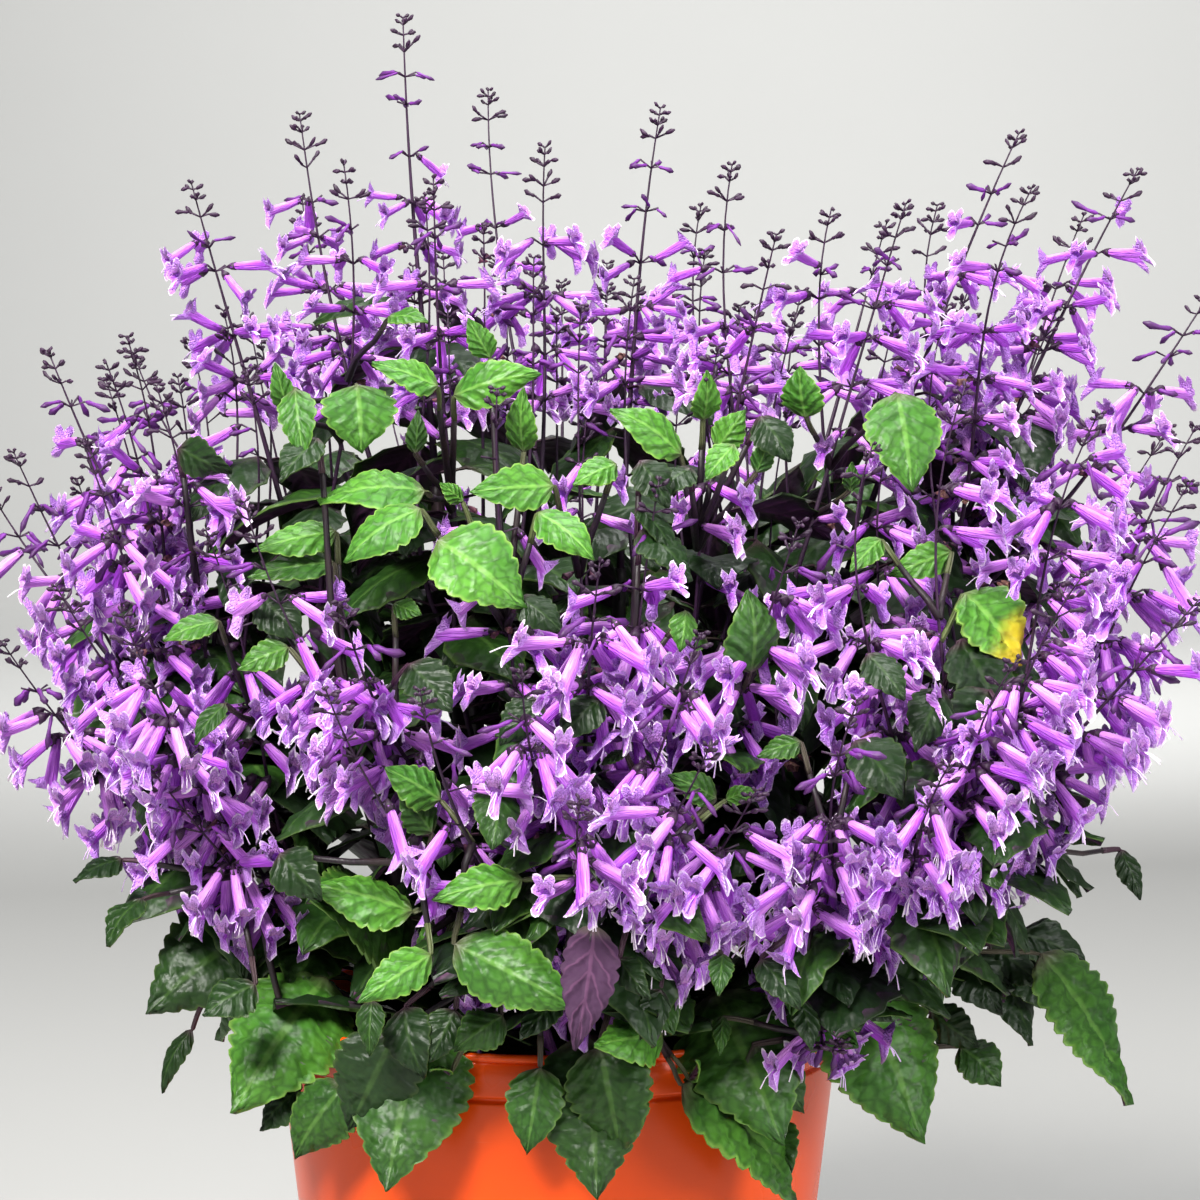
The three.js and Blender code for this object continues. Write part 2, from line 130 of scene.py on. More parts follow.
# Leaves seen from the front: base and tip in the 1200 x 1200 view, width over length, tone.
SEEN_LEAVES = [
    (390, 318, 428, 322, 0.7, 0.6), (437, 387, 372, 363, 0.55, 0.85), (455, 396, 541, 374, 0.5, 0.85),
    (490, 357, 468, 318, 0.6, 0.65), (357, 386, 361, 452, 1.1, 0.65), (295, 390, 304, 458, 0.55, 0.6),
    (288, 410, 275, 363, 0.5, 0.6), (424, 492, 319, 503, 0.6, 0.85), (420, 510, 346, 563, 0.6, 0.8),
    (335, 532, 252, 551, 0.45, 0.75), (333, 563, 248, 578, 0.4, 0.45), (553, 486, 470, 492, 0.55, 0.85),
    (524, 450, 524, 387, 0.5, 0.7), (462, 501, 440, 483, 0.7, 0.9), (538, 514, 594, 560, 0.6, 1.0),
    (438, 542, 524, 608, 0.75, 0.9), (395, 605, 421, 615, 0.8, 0.6), (415, 452, 418, 410, 0.5, 0.3),
    (703, 418, 707, 370, 0.6, 0.8), (718, 448, 745, 410, 0.7, 0.8), (680, 455, 610, 410, 0.55, 0.75),
    (734, 446, 706, 480, 0.7, 0.9), (806, 416, 800, 366, 0.85, 0.75), (897, 394, 912, 492, 0.75, 0.65),
    (880, 540, 850, 572, 0.6, 0.8), (951, 552, 888, 576, 0.5, 0.8), (964, 594, 1018, 666, 0.95, 1.3),
    (750, 672, 747, 590, 0.75, 0.4), (757, 472, 771, 437, 0.6, 0.45), (850, 490, 852, 462, 0.6, 0.5),
    (685, 612, 680, 652, 0.7, 0.6), (430, 955, 358, 1003, 0.5, 0.95), (432, 964, 427, 920, 0.6, 0.9),
    (522, 880, 432, 900, 0.5, 0.9), (395, 1032, 350, 1128, 0.8, 0.15),
    (345, 1085, 296, 1157, 0.75, 0.35), (502, 1016, 454, 1051, 0.75, 0.35),
    (455, 945, 580, 1010, 0.5, 0.55), (661, 1036, 594, 1046, 0.85, 0.8),
    (540, 1068, 527, 1153, 0.65, 0.4), (752, 1046, 802, 1112, 0.7, 0.25),
    (770, 1122, 792, 1172, 0.8, 0.3), (722, 955, 718, 996, 0.6, 0.35), (722, 1018, 720, 1055, 0.5, 0.4),
    (959, 1047, 1000, 1086, 0.9, 0.35), (995, 970, 1030, 1046, 0.7, 0.1),
    (1010, 958, 1062, 1012, 0.8, 0.1), (930, 1012, 978, 1046, 0.7, 0.15),
    (255, 985, 203, 1016, 0.8, 0.2), (122, 860, 74, 882, 0.7, 0.1), (142, 900, 108, 947, 0.7, 0.2),
    (218, 622, 164, 641, 0.55, 0.6), (288, 648, 238, 670, 0.6, 0.6), (1050, 512, 1112, 526, 0.5, 0.15),
    (300, 1090, 262, 1131, 0.8, 0.15), (372, 1000, 370, 1056, 0.5, 0.25),
    (405, 1008, 425, 1078, 0.7, 0.12), (455, 1010, 430, 1062, 0.7, 0.15),
    (450, 1074, 430, 1070, 0.7, 0.6), (600, 1046, 622, 1154, 0.75, 0.3),
    (690, 1080, 697, 1060, 0.7, 0.7), (682, 1085, 790, 1205, 0.7, 0.5),
    (860, 1000, 893, 1022, 0.7, 0.1), (880, 1030, 935, 1045, 0.6, 0.15),
    (760, 960, 800, 1010, 0.6, 0.1), (660, 990, 640, 1040, 0.6, 0.1), (800, 1000, 812, 1050, 0.6, 0.1),
    (560, 1000, 520, 1040, 0.6, 0.1), (620, 960, 650, 1000, 0.6, 0.1),
    (192, 1030, 163, 1093, 0.35, 0.15), (1120, 850, 1140, 900, 0.5, 0.1),
    (440, 800, 385, 768, 0.7, 0.7), (432, 832, 400, 790, 0.7, 0.35), (500, 785, 492, 850, 0.75, 0.3),
    (530, 745, 495, 735, 0.6, 0.2), (225, 705, 195, 745, 0.5, 0.3), (715, 798, 668, 775, 0.6, 0.45),
    (727, 800, 757, 790, 0.6, 0.85), (800, 742, 757, 757, 0.6, 0.4), (1066, 775, 1045, 793, 0.6, 0.3),
    (412, 912, 308, 886, 0.55, 0.85), (988, 945, 1040, 985, 0.8, 0.1), (1018, 935, 1085, 968, 0.7, 0.1),
    # From here on, most rows of tone near 0.1 are near-black leaves set into gaps deep in the mass:
    # painted shade for the plant's shadowed depth.
    (958, 955, 1000, 1015, 0.8, 0.05), (280, 855, 322, 900, 0.8, 0.1), (410, 665, 452, 712, 0.8, 0.1),
    (262, 598, 302, 640, 0.8, 0.1), (180, 448, 232, 472, 0.7, 0.15), (318, 440, 280, 482, 0.7, 0.15),
    (520, 598, 562, 632, 0.7, 0.1), (638, 508, 672, 552, 0.7, 0.1), (600, 700, 560, 742, 0.7, 0.1),
    (960, 640, 1000, 722, 0.8, 0.1), (988, 690, 958, 762, 0.8, 0.1), (855, 742, 902, 800, 0.8, 0.1),
    (940, 690, 915, 752, 0.7, 0.12), (640, 532, 690, 582, 0.8, 0.12), (935, 765, 900, 822, 0.8, 0.1),
    (868, 655, 905, 700, 0.7, 0.12), (1000, 660, 1040, 700, 0.7, 0.15), (540, 700, 500, 745, 0.7, 0.1),
    (640, 462, 668, 508, 0.8, 0.1), (690, 470, 655, 502, 0.8, 0.12), (760, 418, 790, 462, 0.8, 0.1),
    (625, 752, 602, 765, 0.6, 0.3), (615, 465, 573, 485, 0.7, 0.8),
]
# The one leaf that shows its purple underside.
TURNED_LEAF = (594, 925, 574, 1050, 0.45, 0.5)


# Settings that a user may change

def colour_of(name, description, *display):
    """A colour setting, by its display values from 0 to 255."""
    return FloatVectorProperty(
        name=name, description=description, default=colour(*display), subtype="COLOR",
        min=0.0, max=1.0)


def length_of(name, description, default):
    """A length setting, in metres."""
    return FloatProperty(name=name, description=description, default=default, unit="LENGTH")


class StageSettings(bpy.types.PropertyGroup):
    """The camera's place and the strength of the studio's lights."""

    distance: length_of("Camera distance", "From the pot's axis to the camera", 1.5)
    height: length_of("Camera height", "Above the surface that the pot stands on", 0.47)
    aim: FloatVectorProperty(
        name="Aim", description="The point at the middle of the view",
        default=(0.017, 0.0, 0.352), subtype="TRANSLATION", unit="LENGTH")
    field: FloatProperty(
        name="Field of view", description="The angle that the view takes in",
        default=math.radians(18.15), subtype="ANGLE")
    roll: FloatProperty(
        name="Roll", description="Turn of the camera about its own line of sight",
        default=0.0, subtype="ANGLE")
    key: FloatProperty(
        name="Key light", description="Power of the large soft light", default=134.0, min=0.0)
    sky: FloatProperty(
        name="Room light", description="Strength of the even light", default=0.23, min=0.0)
    backdrop: colour_of("Backdrop", "Colour of the floor and the backdrop", 162, 162, 160)


class PotSettings(bpy.types.PropertyGroup):
    """The pot's finish and the fineness of its turning, and the soil in it."""

    sides: IntProperty(
        name="Sides", description="Steps round the pot", default=144, min=24)
    plastic: colour_of("Plastic", "Colour of the moulded plastic", 236, 80, 8)
    soil: colour_of("Soil", "Colour of the damp potting soil", 46, 32, 24)
    crumbs: IntProperty(
        name="Crumbs", description="Loose crumbs on the soil", default=180, min=0)


class StemSettings(bpy.types.PropertyGroup):
    """The square stems."""

    foot: length_of("Foot width", "Across a stem at the soil", 0.0076)
    top: length_of("Top width", "Across a stem at its top", 0.0046)
    skin: colour_of("Stem skin", "Colour of the stems", 22, 10, 20)


class FlowerSettings(bpy.types.PropertyGroup):
    """The tubular two-lipped flowers."""

    pitch: length_of("Whorl pitch", "Between whorls on a spike", 0.0195)
    tube_dark: colour_of("Tube, deep", "Deepest colour of the tubes", 170, 66, 212)
    tube_light: colour_of("Tube, light", "Palest colour of the tubes", 232, 150, 248)
    lip: colour_of("Lip", "Colour of the lips", 190, 128, 232)
    rim: colour_of("Lip edge", "Pale edge of the lips", 254, 242, 255)
    calyx: colour_of("Calyx", "Colour of the calyces", 54, 18, 58)


class LeafSettings(bpy.types.PropertyGroup):
    """The toothed leaves."""

    bright: colour_of("Young leaf", "Colour of the brightest leaves", 84, 142, 46)
    # The darkest leaf colour is partly the leaves' own old, dull green and partly painted shade: it is
    # kept near black so that leaves deep in the plant read as shaded.
    dull_and_shaded: colour_of("Old leaf", "Colour of the darkest leaves", 20, 38, 15)
    under: colour_of("Underside", "Colour of the undersides", 62, 34, 62)
    per_stem: IntProperty(
        name="Leaf pairs", description="Pairs of plain leaves on each main stem", default=7)


# Lines and frames

def unit(vector):
    return vector / np.maximum(np.linalg.norm(vector, axis=-1, keepdims=True), 1e-9)


def wobble(index, use):
    """A repeatable value from -1 to 1 for a piece's number and a use of it."""
    v = math.sin(index * 12.9898 + use * 78.233) * 43758.5453
    return 2 * (v - math.floor(v)) - 1


class Line:
    """A Bezier curve whose points are found by their share of its length."""

    def __init__(self, *controls):
        last = len(controls) - 1
        t = np.linspace(0, 1, 201)[:, None]
        self.points = sum(
            math.comb(last, i) * t**i * (1 - t) ** (last - i) * np.array(control, float)
            for i, control in enumerate(controls)
        )
        steps = np.linalg.norm(np.diff(self.points, axis=0), axis=1)
        self.reach = np.concatenate([[0.0], np.cumsum(steps)])
        self.length = self.reach[-1]

    def at(self, share):
        """The point at a share of the length, or the points at several."""
        want = np.clip(share, 0, 1) * self.length
        return np.stack([np.interp(want, self.reach, self.points[:, k]) for k in range(3)], -1)

    def heading(self, share):
        return unit(self.at(share + 0.005) - self.at(share - 0.005))


def frames_along(points):
    """Unit directions along, across and beside a line, turned as little as possible along it."""
    along = unit(np.gradient(points, axis=0))
    across = np.empty_like(along)
    normal = np.array([1.0, 0.0, 0.0])
    if abs(along[0][0]) > 0.9:
        normal = UP
    for i, direction in enumerate(along):
        normal = unit(normal - direction * normal.dot(direction))
        across[i] = normal
    return along, across, np.cross(along, across)


def basis(forward, above, roll=0.0):
    """Rows that turn a shape's own X to forward, and its own Z towards above."""
    ahead = unit(np.array(forward, float))
    beside = unit(np.cross(above, ahead))
    over = np.cross(ahead, beside)
    c, s = math.cos(roll), math.sin(roll)
    return np.array([ahead, c * beside + s * over, c * over - s * beside])


def level(azimuth):
    return np.array([math.cos(azimuth), math.sin(azimuth), 0.0])


def pitched(azimuth, pitch):
    """A direction at an azimuth, that many radians above the level."""
    return level(azimuth) * math.cos(pitch) + UP * math.sin(pitch)


# Shells

@functools.lru_cache(maxsize=None)
def loft_faces(rows, sides):
    """Quads between rings that run the same way round, and one face at each end."""
    low = np.arange((rows - 1) * sides).reshape(rows - 1, sides)
    turned = np.roll(low, -1, axis=1)
    quads = np.stack([low, turned, turned + sides, low + sides], -1).reshape(-1, 4)
    ends = np.stack([np.arange(sides)[::-1], (rows - 1) * sides + np.arange(sides)])
    return quads, ends


class Skin:
    """Closed shells gathered into one mesh.

    place is a point in the shell's own pattern space, and traits are three numbers for its
    finish. Both are kept at each point of the mesh. Edges between crisp points stay sharp.
    """

    def __init__(self):
        self.points, self.place, self.traits = [], [], []
        self.faces, self.finish, self.crisp = [], [], []
        self.count = 0

    def loft(self, rings, place=(0, 0, 0), traits=(0, 0, 0), finish=0, crisp=None):
        """Adds a closed shell through rings of points; crisp picks the points of its sharp edges."""
        rows, sides = rings.shape[:2]
        self.points.append(rings.reshape(-1, 3))
        for kept, values in ((self.place, place), (self.traits, traits)):
            kept.append(np.broadcast_to(values, rings.shape).reshape(-1, 3))
        for group in loft_faces(rows, sides):
            self.faces.append(group + self.count)
            self.finish.append(np.full(len(group), finish))
        sharp = np.zeros((rows, sides), bool)
        if crisp is not None:
            sharp[crisp] = True
        self.crisp.append(sharp.ravel())
        self.count += rows * sides

    def build(self, name, finishes):
        """Makes the mesh and its object."""
        mesh = bpy.data.meshes.new(name)
        mesh.vertices.add(self.count)
        points = np.concatenate(self.points) * MM
        mesh.vertices.foreach_set("co", points.ravel().astype(np.float32))
        sizes = np.concatenate([np.full(len(f), f.shape[1]) for f in self.faces])
        corners = np.concatenate([f.ravel() for f in self.faces])
        mesh.loops.add(len(corners))
        mesh.loops.foreach_set("vertex_index", corners.astype(np.int32))
        mesh.polygons.add(len(sizes))
        starts = np.concatenate([[0], np.cumsum(sizes)[:-1]])
        mesh.polygons.foreach_set("loop_start", starts.astype(np.int32))
        mesh.polygons.foreach_set("material_index", np.concatenate(self.finish).astype(np.int32))
        mesh.polygons.foreach_set("use_smooth", np.ones(len(sizes), bool))
        mesh.update(calc_edges=True)
        ends = np.empty(2 * len(mesh.edges), np.int32)
        mesh.edges.foreach_get("vertices", ends)
        sharp = np.concatenate(self.crisp)[ends.reshape(-1, 2)].all(axis=1)
        mesh.edges.foreach_set("use_edge_sharp", sharp)
        for key, rows in (("place", self.place), ("traits", self.traits)):
            layer = mesh.attributes.new(key, "FLOAT_VECTOR", "POINT")
            layer.data.foreach_set("vector", np.concatenate(rows).ravel().astype(np.float32))
        for finish in finishes:
            mesh.materials.append(finish)
        piece = bpy.data.objects.new(name, mesh)
        bpy.context.scene.collection.objects.link(piece)
        return piece


def settle(piece, slot, *nodes):
    """Puts a piece on the one body and hides the parts of the nodes it stands for; the finish slot is
    not used.
    """
    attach(piece, "root")
    if nodes:
        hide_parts(*nodes)


def traits_of(*values):
    """Three numbers for each point of a shape, each told once or point by point."""
    return np.stack(np.broadcast_arrays(*values), -1)


def sector_of(point, count):
    """Which one of count equal sectors round the pot's axis a point is in."""
    return int((math.atan2(point[1], point[0]) + math.pi) / (2 * math.pi) * count) % count


def settle_groups(skins, name, finishes, slot):
    """One piece for each numbered skin; such pieces stand for no node."""
    for number, skin in sorted(skins.items()):
        settle(skin.build(f"{name}_{number + 1:02d}", finishes), slot)


def tube(points, radii, sides, turn=0.0, square=0.0):
    """Rings round a line; square above 0 gives them flat sides with round corners."""
    points = np.asarray(points, float)
    _, across, beside = frames_along(points)
    angle = turn + 2 * np.pi * np.arange(sides) / sides
    radius = np.broadcast_to(radii, len(points))[:, None] * (1 + square * np.cos(4 * angle))
    ring = across[:, None] * np.cos(angle)[:, None] + beside[:, None] * np.sin(angle)[:, None]
    return points[:, None] + radius[..., None] * ring


def turned(profile, sides, ahead=False):
    """Rings about the X axis (ahead) or the Z axis from rows of place along it and radius."""
    profile = np.array(profile, float)
    angle = 2 * np.pi * np.arange(sides) / sides
    along = np.repeat(profile[:, :1], sides, axis=1)
    one = profile[:, 1:2] * np.cos(angle)
    two = profile[:, 1:2] * np.sin(angle)
    return np.stack([along, one, two] if ahead else [one, two, along], -1)


def put(rings, origin, turn, size=1.0):
    """A small shape, made about its own X axis, moved to where it grows."""
    return origin + size * rings @ turn


# The view from the front

# Half the width of the view that the places of leaves are told in.
HALF_VIEW = 600


class View:
    """The camera's geometry, for places that are told by a point of the 1200 x 1200 view."""

    def __init__(self, settings):
        self.eye = np.array([settings.aim[0], -settings.distance, settings.height]) / MM
        ahead = unit(np.array(settings.aim) / MM - self.eye)
        right = unit(np.cross(ahead, UP))
        over = np.cross(right, ahead)
        c, s = math.cos(settings.roll), math.sin(settings.roll)
        self.axes = np.array([c * right + s * over, c * over - s * right, -ahead])
        self.focal = HALF_VIEW / math.tan(settings.field / 2)

    def ray(self, x, y):
        """The direction in which the camera sees a point of the view."""
        return unit(np.array([x - HALF_VIEW, HALF_VIEW - y, -self.focal]) @ self.axes)

    def pixel(self, points):
        """Where points show in the view, across and down, and how far away they are."""
        seen = (np.asarray(points) - self.eye) @ self.axes.T
        away = -seen[..., 2]
        x = HALF_VIEW + self.focal * seen[..., 0] / away
        y = HALF_VIEW - self.focal * seen[..., 1] / away
        return np.stack([x, y, away], -1)

    def matrix(self):
        turn = Matrix(self.axes.T.tolist()).to_4x4()
        return Matrix.Translation(Vector(self.eye * MM)) @ turn


# The plant's outline from any side, as height and reach; it is wider than it is deep.
OUTLINE_HEIGHTS = [90, 150, 200, 250, 330, 420, 500, 560, 600]
OUTLINE_REACH = [124, 128, 150, 185, 205, 195, 165, 100, 40]
OUTLINE_STRETCH = 1.15
# Where a ray from the camera starts and stops looking for the outline, and its steps.
SEARCH_NEAR, SEARCH_FAR, SEARCH_STEP = 1250, 1620, 2.0
# How far in a leaf of the front sits, as a share of the outline, by its height in the view.
LEAF_ROWS = [560, 700, 900]
LEAF_SHARES = [0.75, 0.82, 0.9]
DROOP_GAIN = 0.0012


def off_axis(point):
    return math.hypot(point[0] / OUTLINE_STRETCH, point[1])


def within(point, share):
    """Whether a point is inside the outline, drawn in by share."""
    return off_axis(point) < share * np.interp(point[2], OUTLINE_HEIGHTS, OUTLINE_REACH)


def leaf_depth(row):
    """How far in a leaf of the list sits, as a share; a drooping one is further out."""
    droop = np.clip((row[3] - row[1]) * DROOP_GAIN, -0.03, 0.1)
    return float(np.interp(row[1], LEAF_ROWS, LEAF_SHARES) + droop)


def seen_place(view, x, y, share):
    """Where the view's ray through a point first meets the plant's outline, drawn in by share."""
    ray = view.ray(x, y)
    best = None
    for away in np.arange(SEARCH_NEAR, SEARCH_FAR, SEARCH_STEP):
        point = view.eye + ray * away
        if within(point, share):
            return point
        miss = off_axis(point)
        if best is None or miss < best[0]:
            best = (miss, point)
    return best[1]


# Stems

POT_TOP = 190.0
SOIL_EDGE = 175.0
STEM_DEPTH = 14.0
# Along a stem's line: the buds at its tip, each whorl of the frame, and the bare part below them.
BUD_HEAD = 34.0
CAD_PITCH = 21.0
BARE_BELOW = 24.0
# A foot's reach from the pot's axis: this far, and this share of how far out the tip is.
FOOT_CIRCLE, FOOT_SHARE = 12, 0.18
# How far spikes lean outward, in degrees: at the plant's edge, and where their tips are low.
LEAN_CENTRE, EDGE_REACH, EDGE_LEAN = -20, 255, 29
LOW_TIP, LOW_SPAN, LOW_LEAN = 420, 150, 20


def tip_direction(tip, index):
    """The way a spike points at its tip: more outward near the plant's edge and low on it."""
    out_x = tip[0] - LEAN_CENTRE
    low = max(0.0, (LOW_TIP - tip[2]) / LOW_SPAN)
    at_edge = math.hypot(out_x, tip[1]) / EDGE_REACH
    lean = math.radians(EDGE_LEAN * at_edge + LOW_LEAN * low + 4 * wobble(index, 1))
    heading = math.atan2(tip[1], out_x) + 0.15 * wobble(index, 2)
    return pitched(heading, math.pi / 2 - lean)


def rising_line(root, start, tip, index):
    """A line that leaves its root along start and comes to its tip as a spike points there."""
    length = np.linalg.norm(tip - root)
    return Line(root, root + 0.3 * length * start, tip - 0.4 * length * tip_direction(tip, index), tip)


def main_line(x, y, z, index):
    """From a foot in the soil, outward and then up to the tip."""
    tip = np.array([x, y, z], float)
    reach = math.hypot(x, y)
    foot = np.array([x, y, 0.0]) / reach * (FOOT_CIRCLE + FOOT_SHARE * reach)
    foot[2] = SOIL_EDGE - STEM_DEPTH
    return rising_line(foot, unit((tip - foot) * [1, 1, 0.8]), tip, index)


def side_line(root, heading, tip, index):
    """From the middle of a stem, first much as the stem runs, then up to the tip."""
    tip = np.array(tip, float)
    outward = unit((tip - root) * [1, 1, 0])
    return rising_line(root, unit(heading + 0.8 * outward), tip, index)


class Stem:
    """A main stem's line up to its spike's tip, and the share of it that is bare of flowers."""

    def __init__(self, index):
        x, y, z, whorls = MAIN_TIPS[index]
        self.line = main_line(x, y, z, index)
        self.share = 1 - (BUD_HEAD + CAD_PITCH * whorls + BARE_BELOW) / self.line.length


STEMS = [Stem(index) for index in range(len(MAIN_TIPS))]
STEM_LINES = [(stem.line, stem.share) for stem in STEMS]


def nearest_root(tip, rise, lines, lowest=0.3):
    """The place on one of the lines that best carries something that far below a tip."""
    best = None
    for line, highest in lines:
        for share in np.linspace(lowest, 0.97, 14) * highest:
            root = line.at(share)
            cost = math.hypot(*(tip - root)[:2]) + 0.7 * abs(tip[2] - root[2] - rise)
            if best is None or cost < best[0]:
                best = (cost, root, line.heading(share))
    return best[1], best[2]


# Flowers, each about its own X axis with the mouth ahead, in millimetres

TUBE_FULL = 19.5
TUBE_PROFILE = [(0, 1.5), (8, 2.2), (19.5, 2.6)]
LIP_SIZE = 0.84
# Half of the lips' outline, from the notch of the upper lip down to the lower lip's tip:
# to the side, up and ahead of the middle of the mouth.
LIP_OUTLINE = [
    (0, 6.4, 0.2), (1.3, 8.9, -0.7), (3.3, 9.9, -0.9), (5.2, 9.0, -0.7), (5.9, 6.9, -0.5),
    (4.2, 4.5, 0.4), (6.0, 2.9, 0.8), (5.4, 0.9, 1.0), (2.3, -1.2, 1.4), (2.3, -4.4, 1.8),
    (3.2, -7.6, 2.0), (2.0, -10.6, 1.0), (0, -11.6, 0.6),
]
LIP_SIDES = 2 * (len(LIP_OUTLINE) - 1)


def lip_outline():
    """The whole outline, as ahead, to the side and up."""
    half = np.array(LIP_OUTLINE, float)
    left = half[:, [2, 0, 1]] * [1, -1, 1]
    right = left[-2:0:-1] * [1, -1, 1]
    return np.concatenate([left, right])


LIPS = lip_outline()
# The points of the outline that a flower at the back or deep inside keeps.
PLAIN_SIDES = [0, 2, 4, 5, 6, 8, 10, 12, 14, 16, 18, 19, 20, 22]
FLOWER_ANGLE = np.pi / 2 + 2 * np.pi * np.arange(LIP_SIDES) / LIP_SIDES


def round_ring(along, radius):
    """A ring of the tube with as many points as the lips have."""
    across, up = radius * np.cos(FLOWER_ANGLE), radius * np.sin(FLOWER_ANGLE)
    return np.stack([np.full(LIP_SIDES, along, float), across, up], -1)


def flower_rings(rng):
    """One corolla: its tube, round the edge of its lips, and back into its throat."""
    lean = math.radians(rng.uniform(-5, 32))
    hang = math.radians(rng.uniform(5, 50))
    bend = rng.uniform(-1.2, 2.2)
    spread = rng.uniform(0.82, 1.12)
    lips = LIPS * [1, spread, 1] * LIP_SIZE
    lips = lips + rng.normal(0, 0.16, lips.shape)
    upper = np.maximum(lips[:, 2], 0)
    lower = np.maximum(-lips[:, 2], 0)
    lips[:, 0] += lower * math.sin(hang) - upper * math.tan(lean)
    lips[:, 2] = upper - lower * math.cos(hang)
    mouth = round_ring(TUBE_FULL, TUBE_PROFILE[-1][1])
    lips[:, 0] += TUBE_FULL
    front = 0.22 * mouth + 0.78 * lips
    throat = round_ring(TUBE_FULL - 4, 1.2)
    rings = [round_ring(*row) for row in TUBE_PROFILE]
    rings = np.stack(rings + [lips, front, throat])
    rings[..., 2] += bend * (np.minimum(rings[..., 0], TUBE_FULL) / TUBE_FULL) ** 2
    return rings


def sideways(azimuth):
    """Turns a flower that would point straight to the front some way round its stem."""
    off = (azimuth + math.pi / 2 + math.pi) % (2 * math.pi) - math.pi
    if abs(off) < 1.1:
        off = math.copysign(0.5 + 0.55 * abs(off), off)
    return off - math.pi / 2


FLOWER_EDGE = np.array([-1, -1, -1, 1, 0, 0])
FLOWER_LIP = np.array([0, 0, 0.25, 1, 1, 0.6])
LIP_RING = 3
CALYX_RINGS = turned([(-2.2, 0.4), (0.2, 1.8), (2.6, 2.2)], 5, True)
CALYX_RINGS[2, [0, 2], 0] -= 1.1
SPENT_RINGS = turned([(-1.6, 0.4), (0.0, 1.1), (2.0, 1.4), (3.6, 1.9), (1.6, 1.0)], 6, True)
SPENT_RINGS[3, ::2, 0] -= 1.1
BUD_RINGS = turned([(0, 0.3), (0.12, 0.75), (0.4, 0.62), (0.78, 1.15), (1, 0.3)], 4, True)
TIP_RINGS = turned([(0, 0.3), (0.2, 0.8), (0.65, 1.1), (1, 0.4)], 4, True)
# The numbers of the two finishes of a spike.
PETAL, DARK = 0, 1
# How far down from a spike's tip its first whorls sit, and how far down the small buds of the tip
# and the larger buds end.
TIP_DOWNS = [0.4, 3.0, 7.0, 13.5, 24.0, 38.0, 56.0]
YOUNG_DOWN, BUD_DOWN = 22, 75
# Below this height, the leaves hide flowers that are inside these shares of the outline at the
# front and at the back. They are left out, and those inside the third share are plainer.
LEAFY_BELOW = 425
HIDDEN_FRONT, HIDDEN_BACK, PLAIN_SHARE = 0.63, 0.79, 0.74


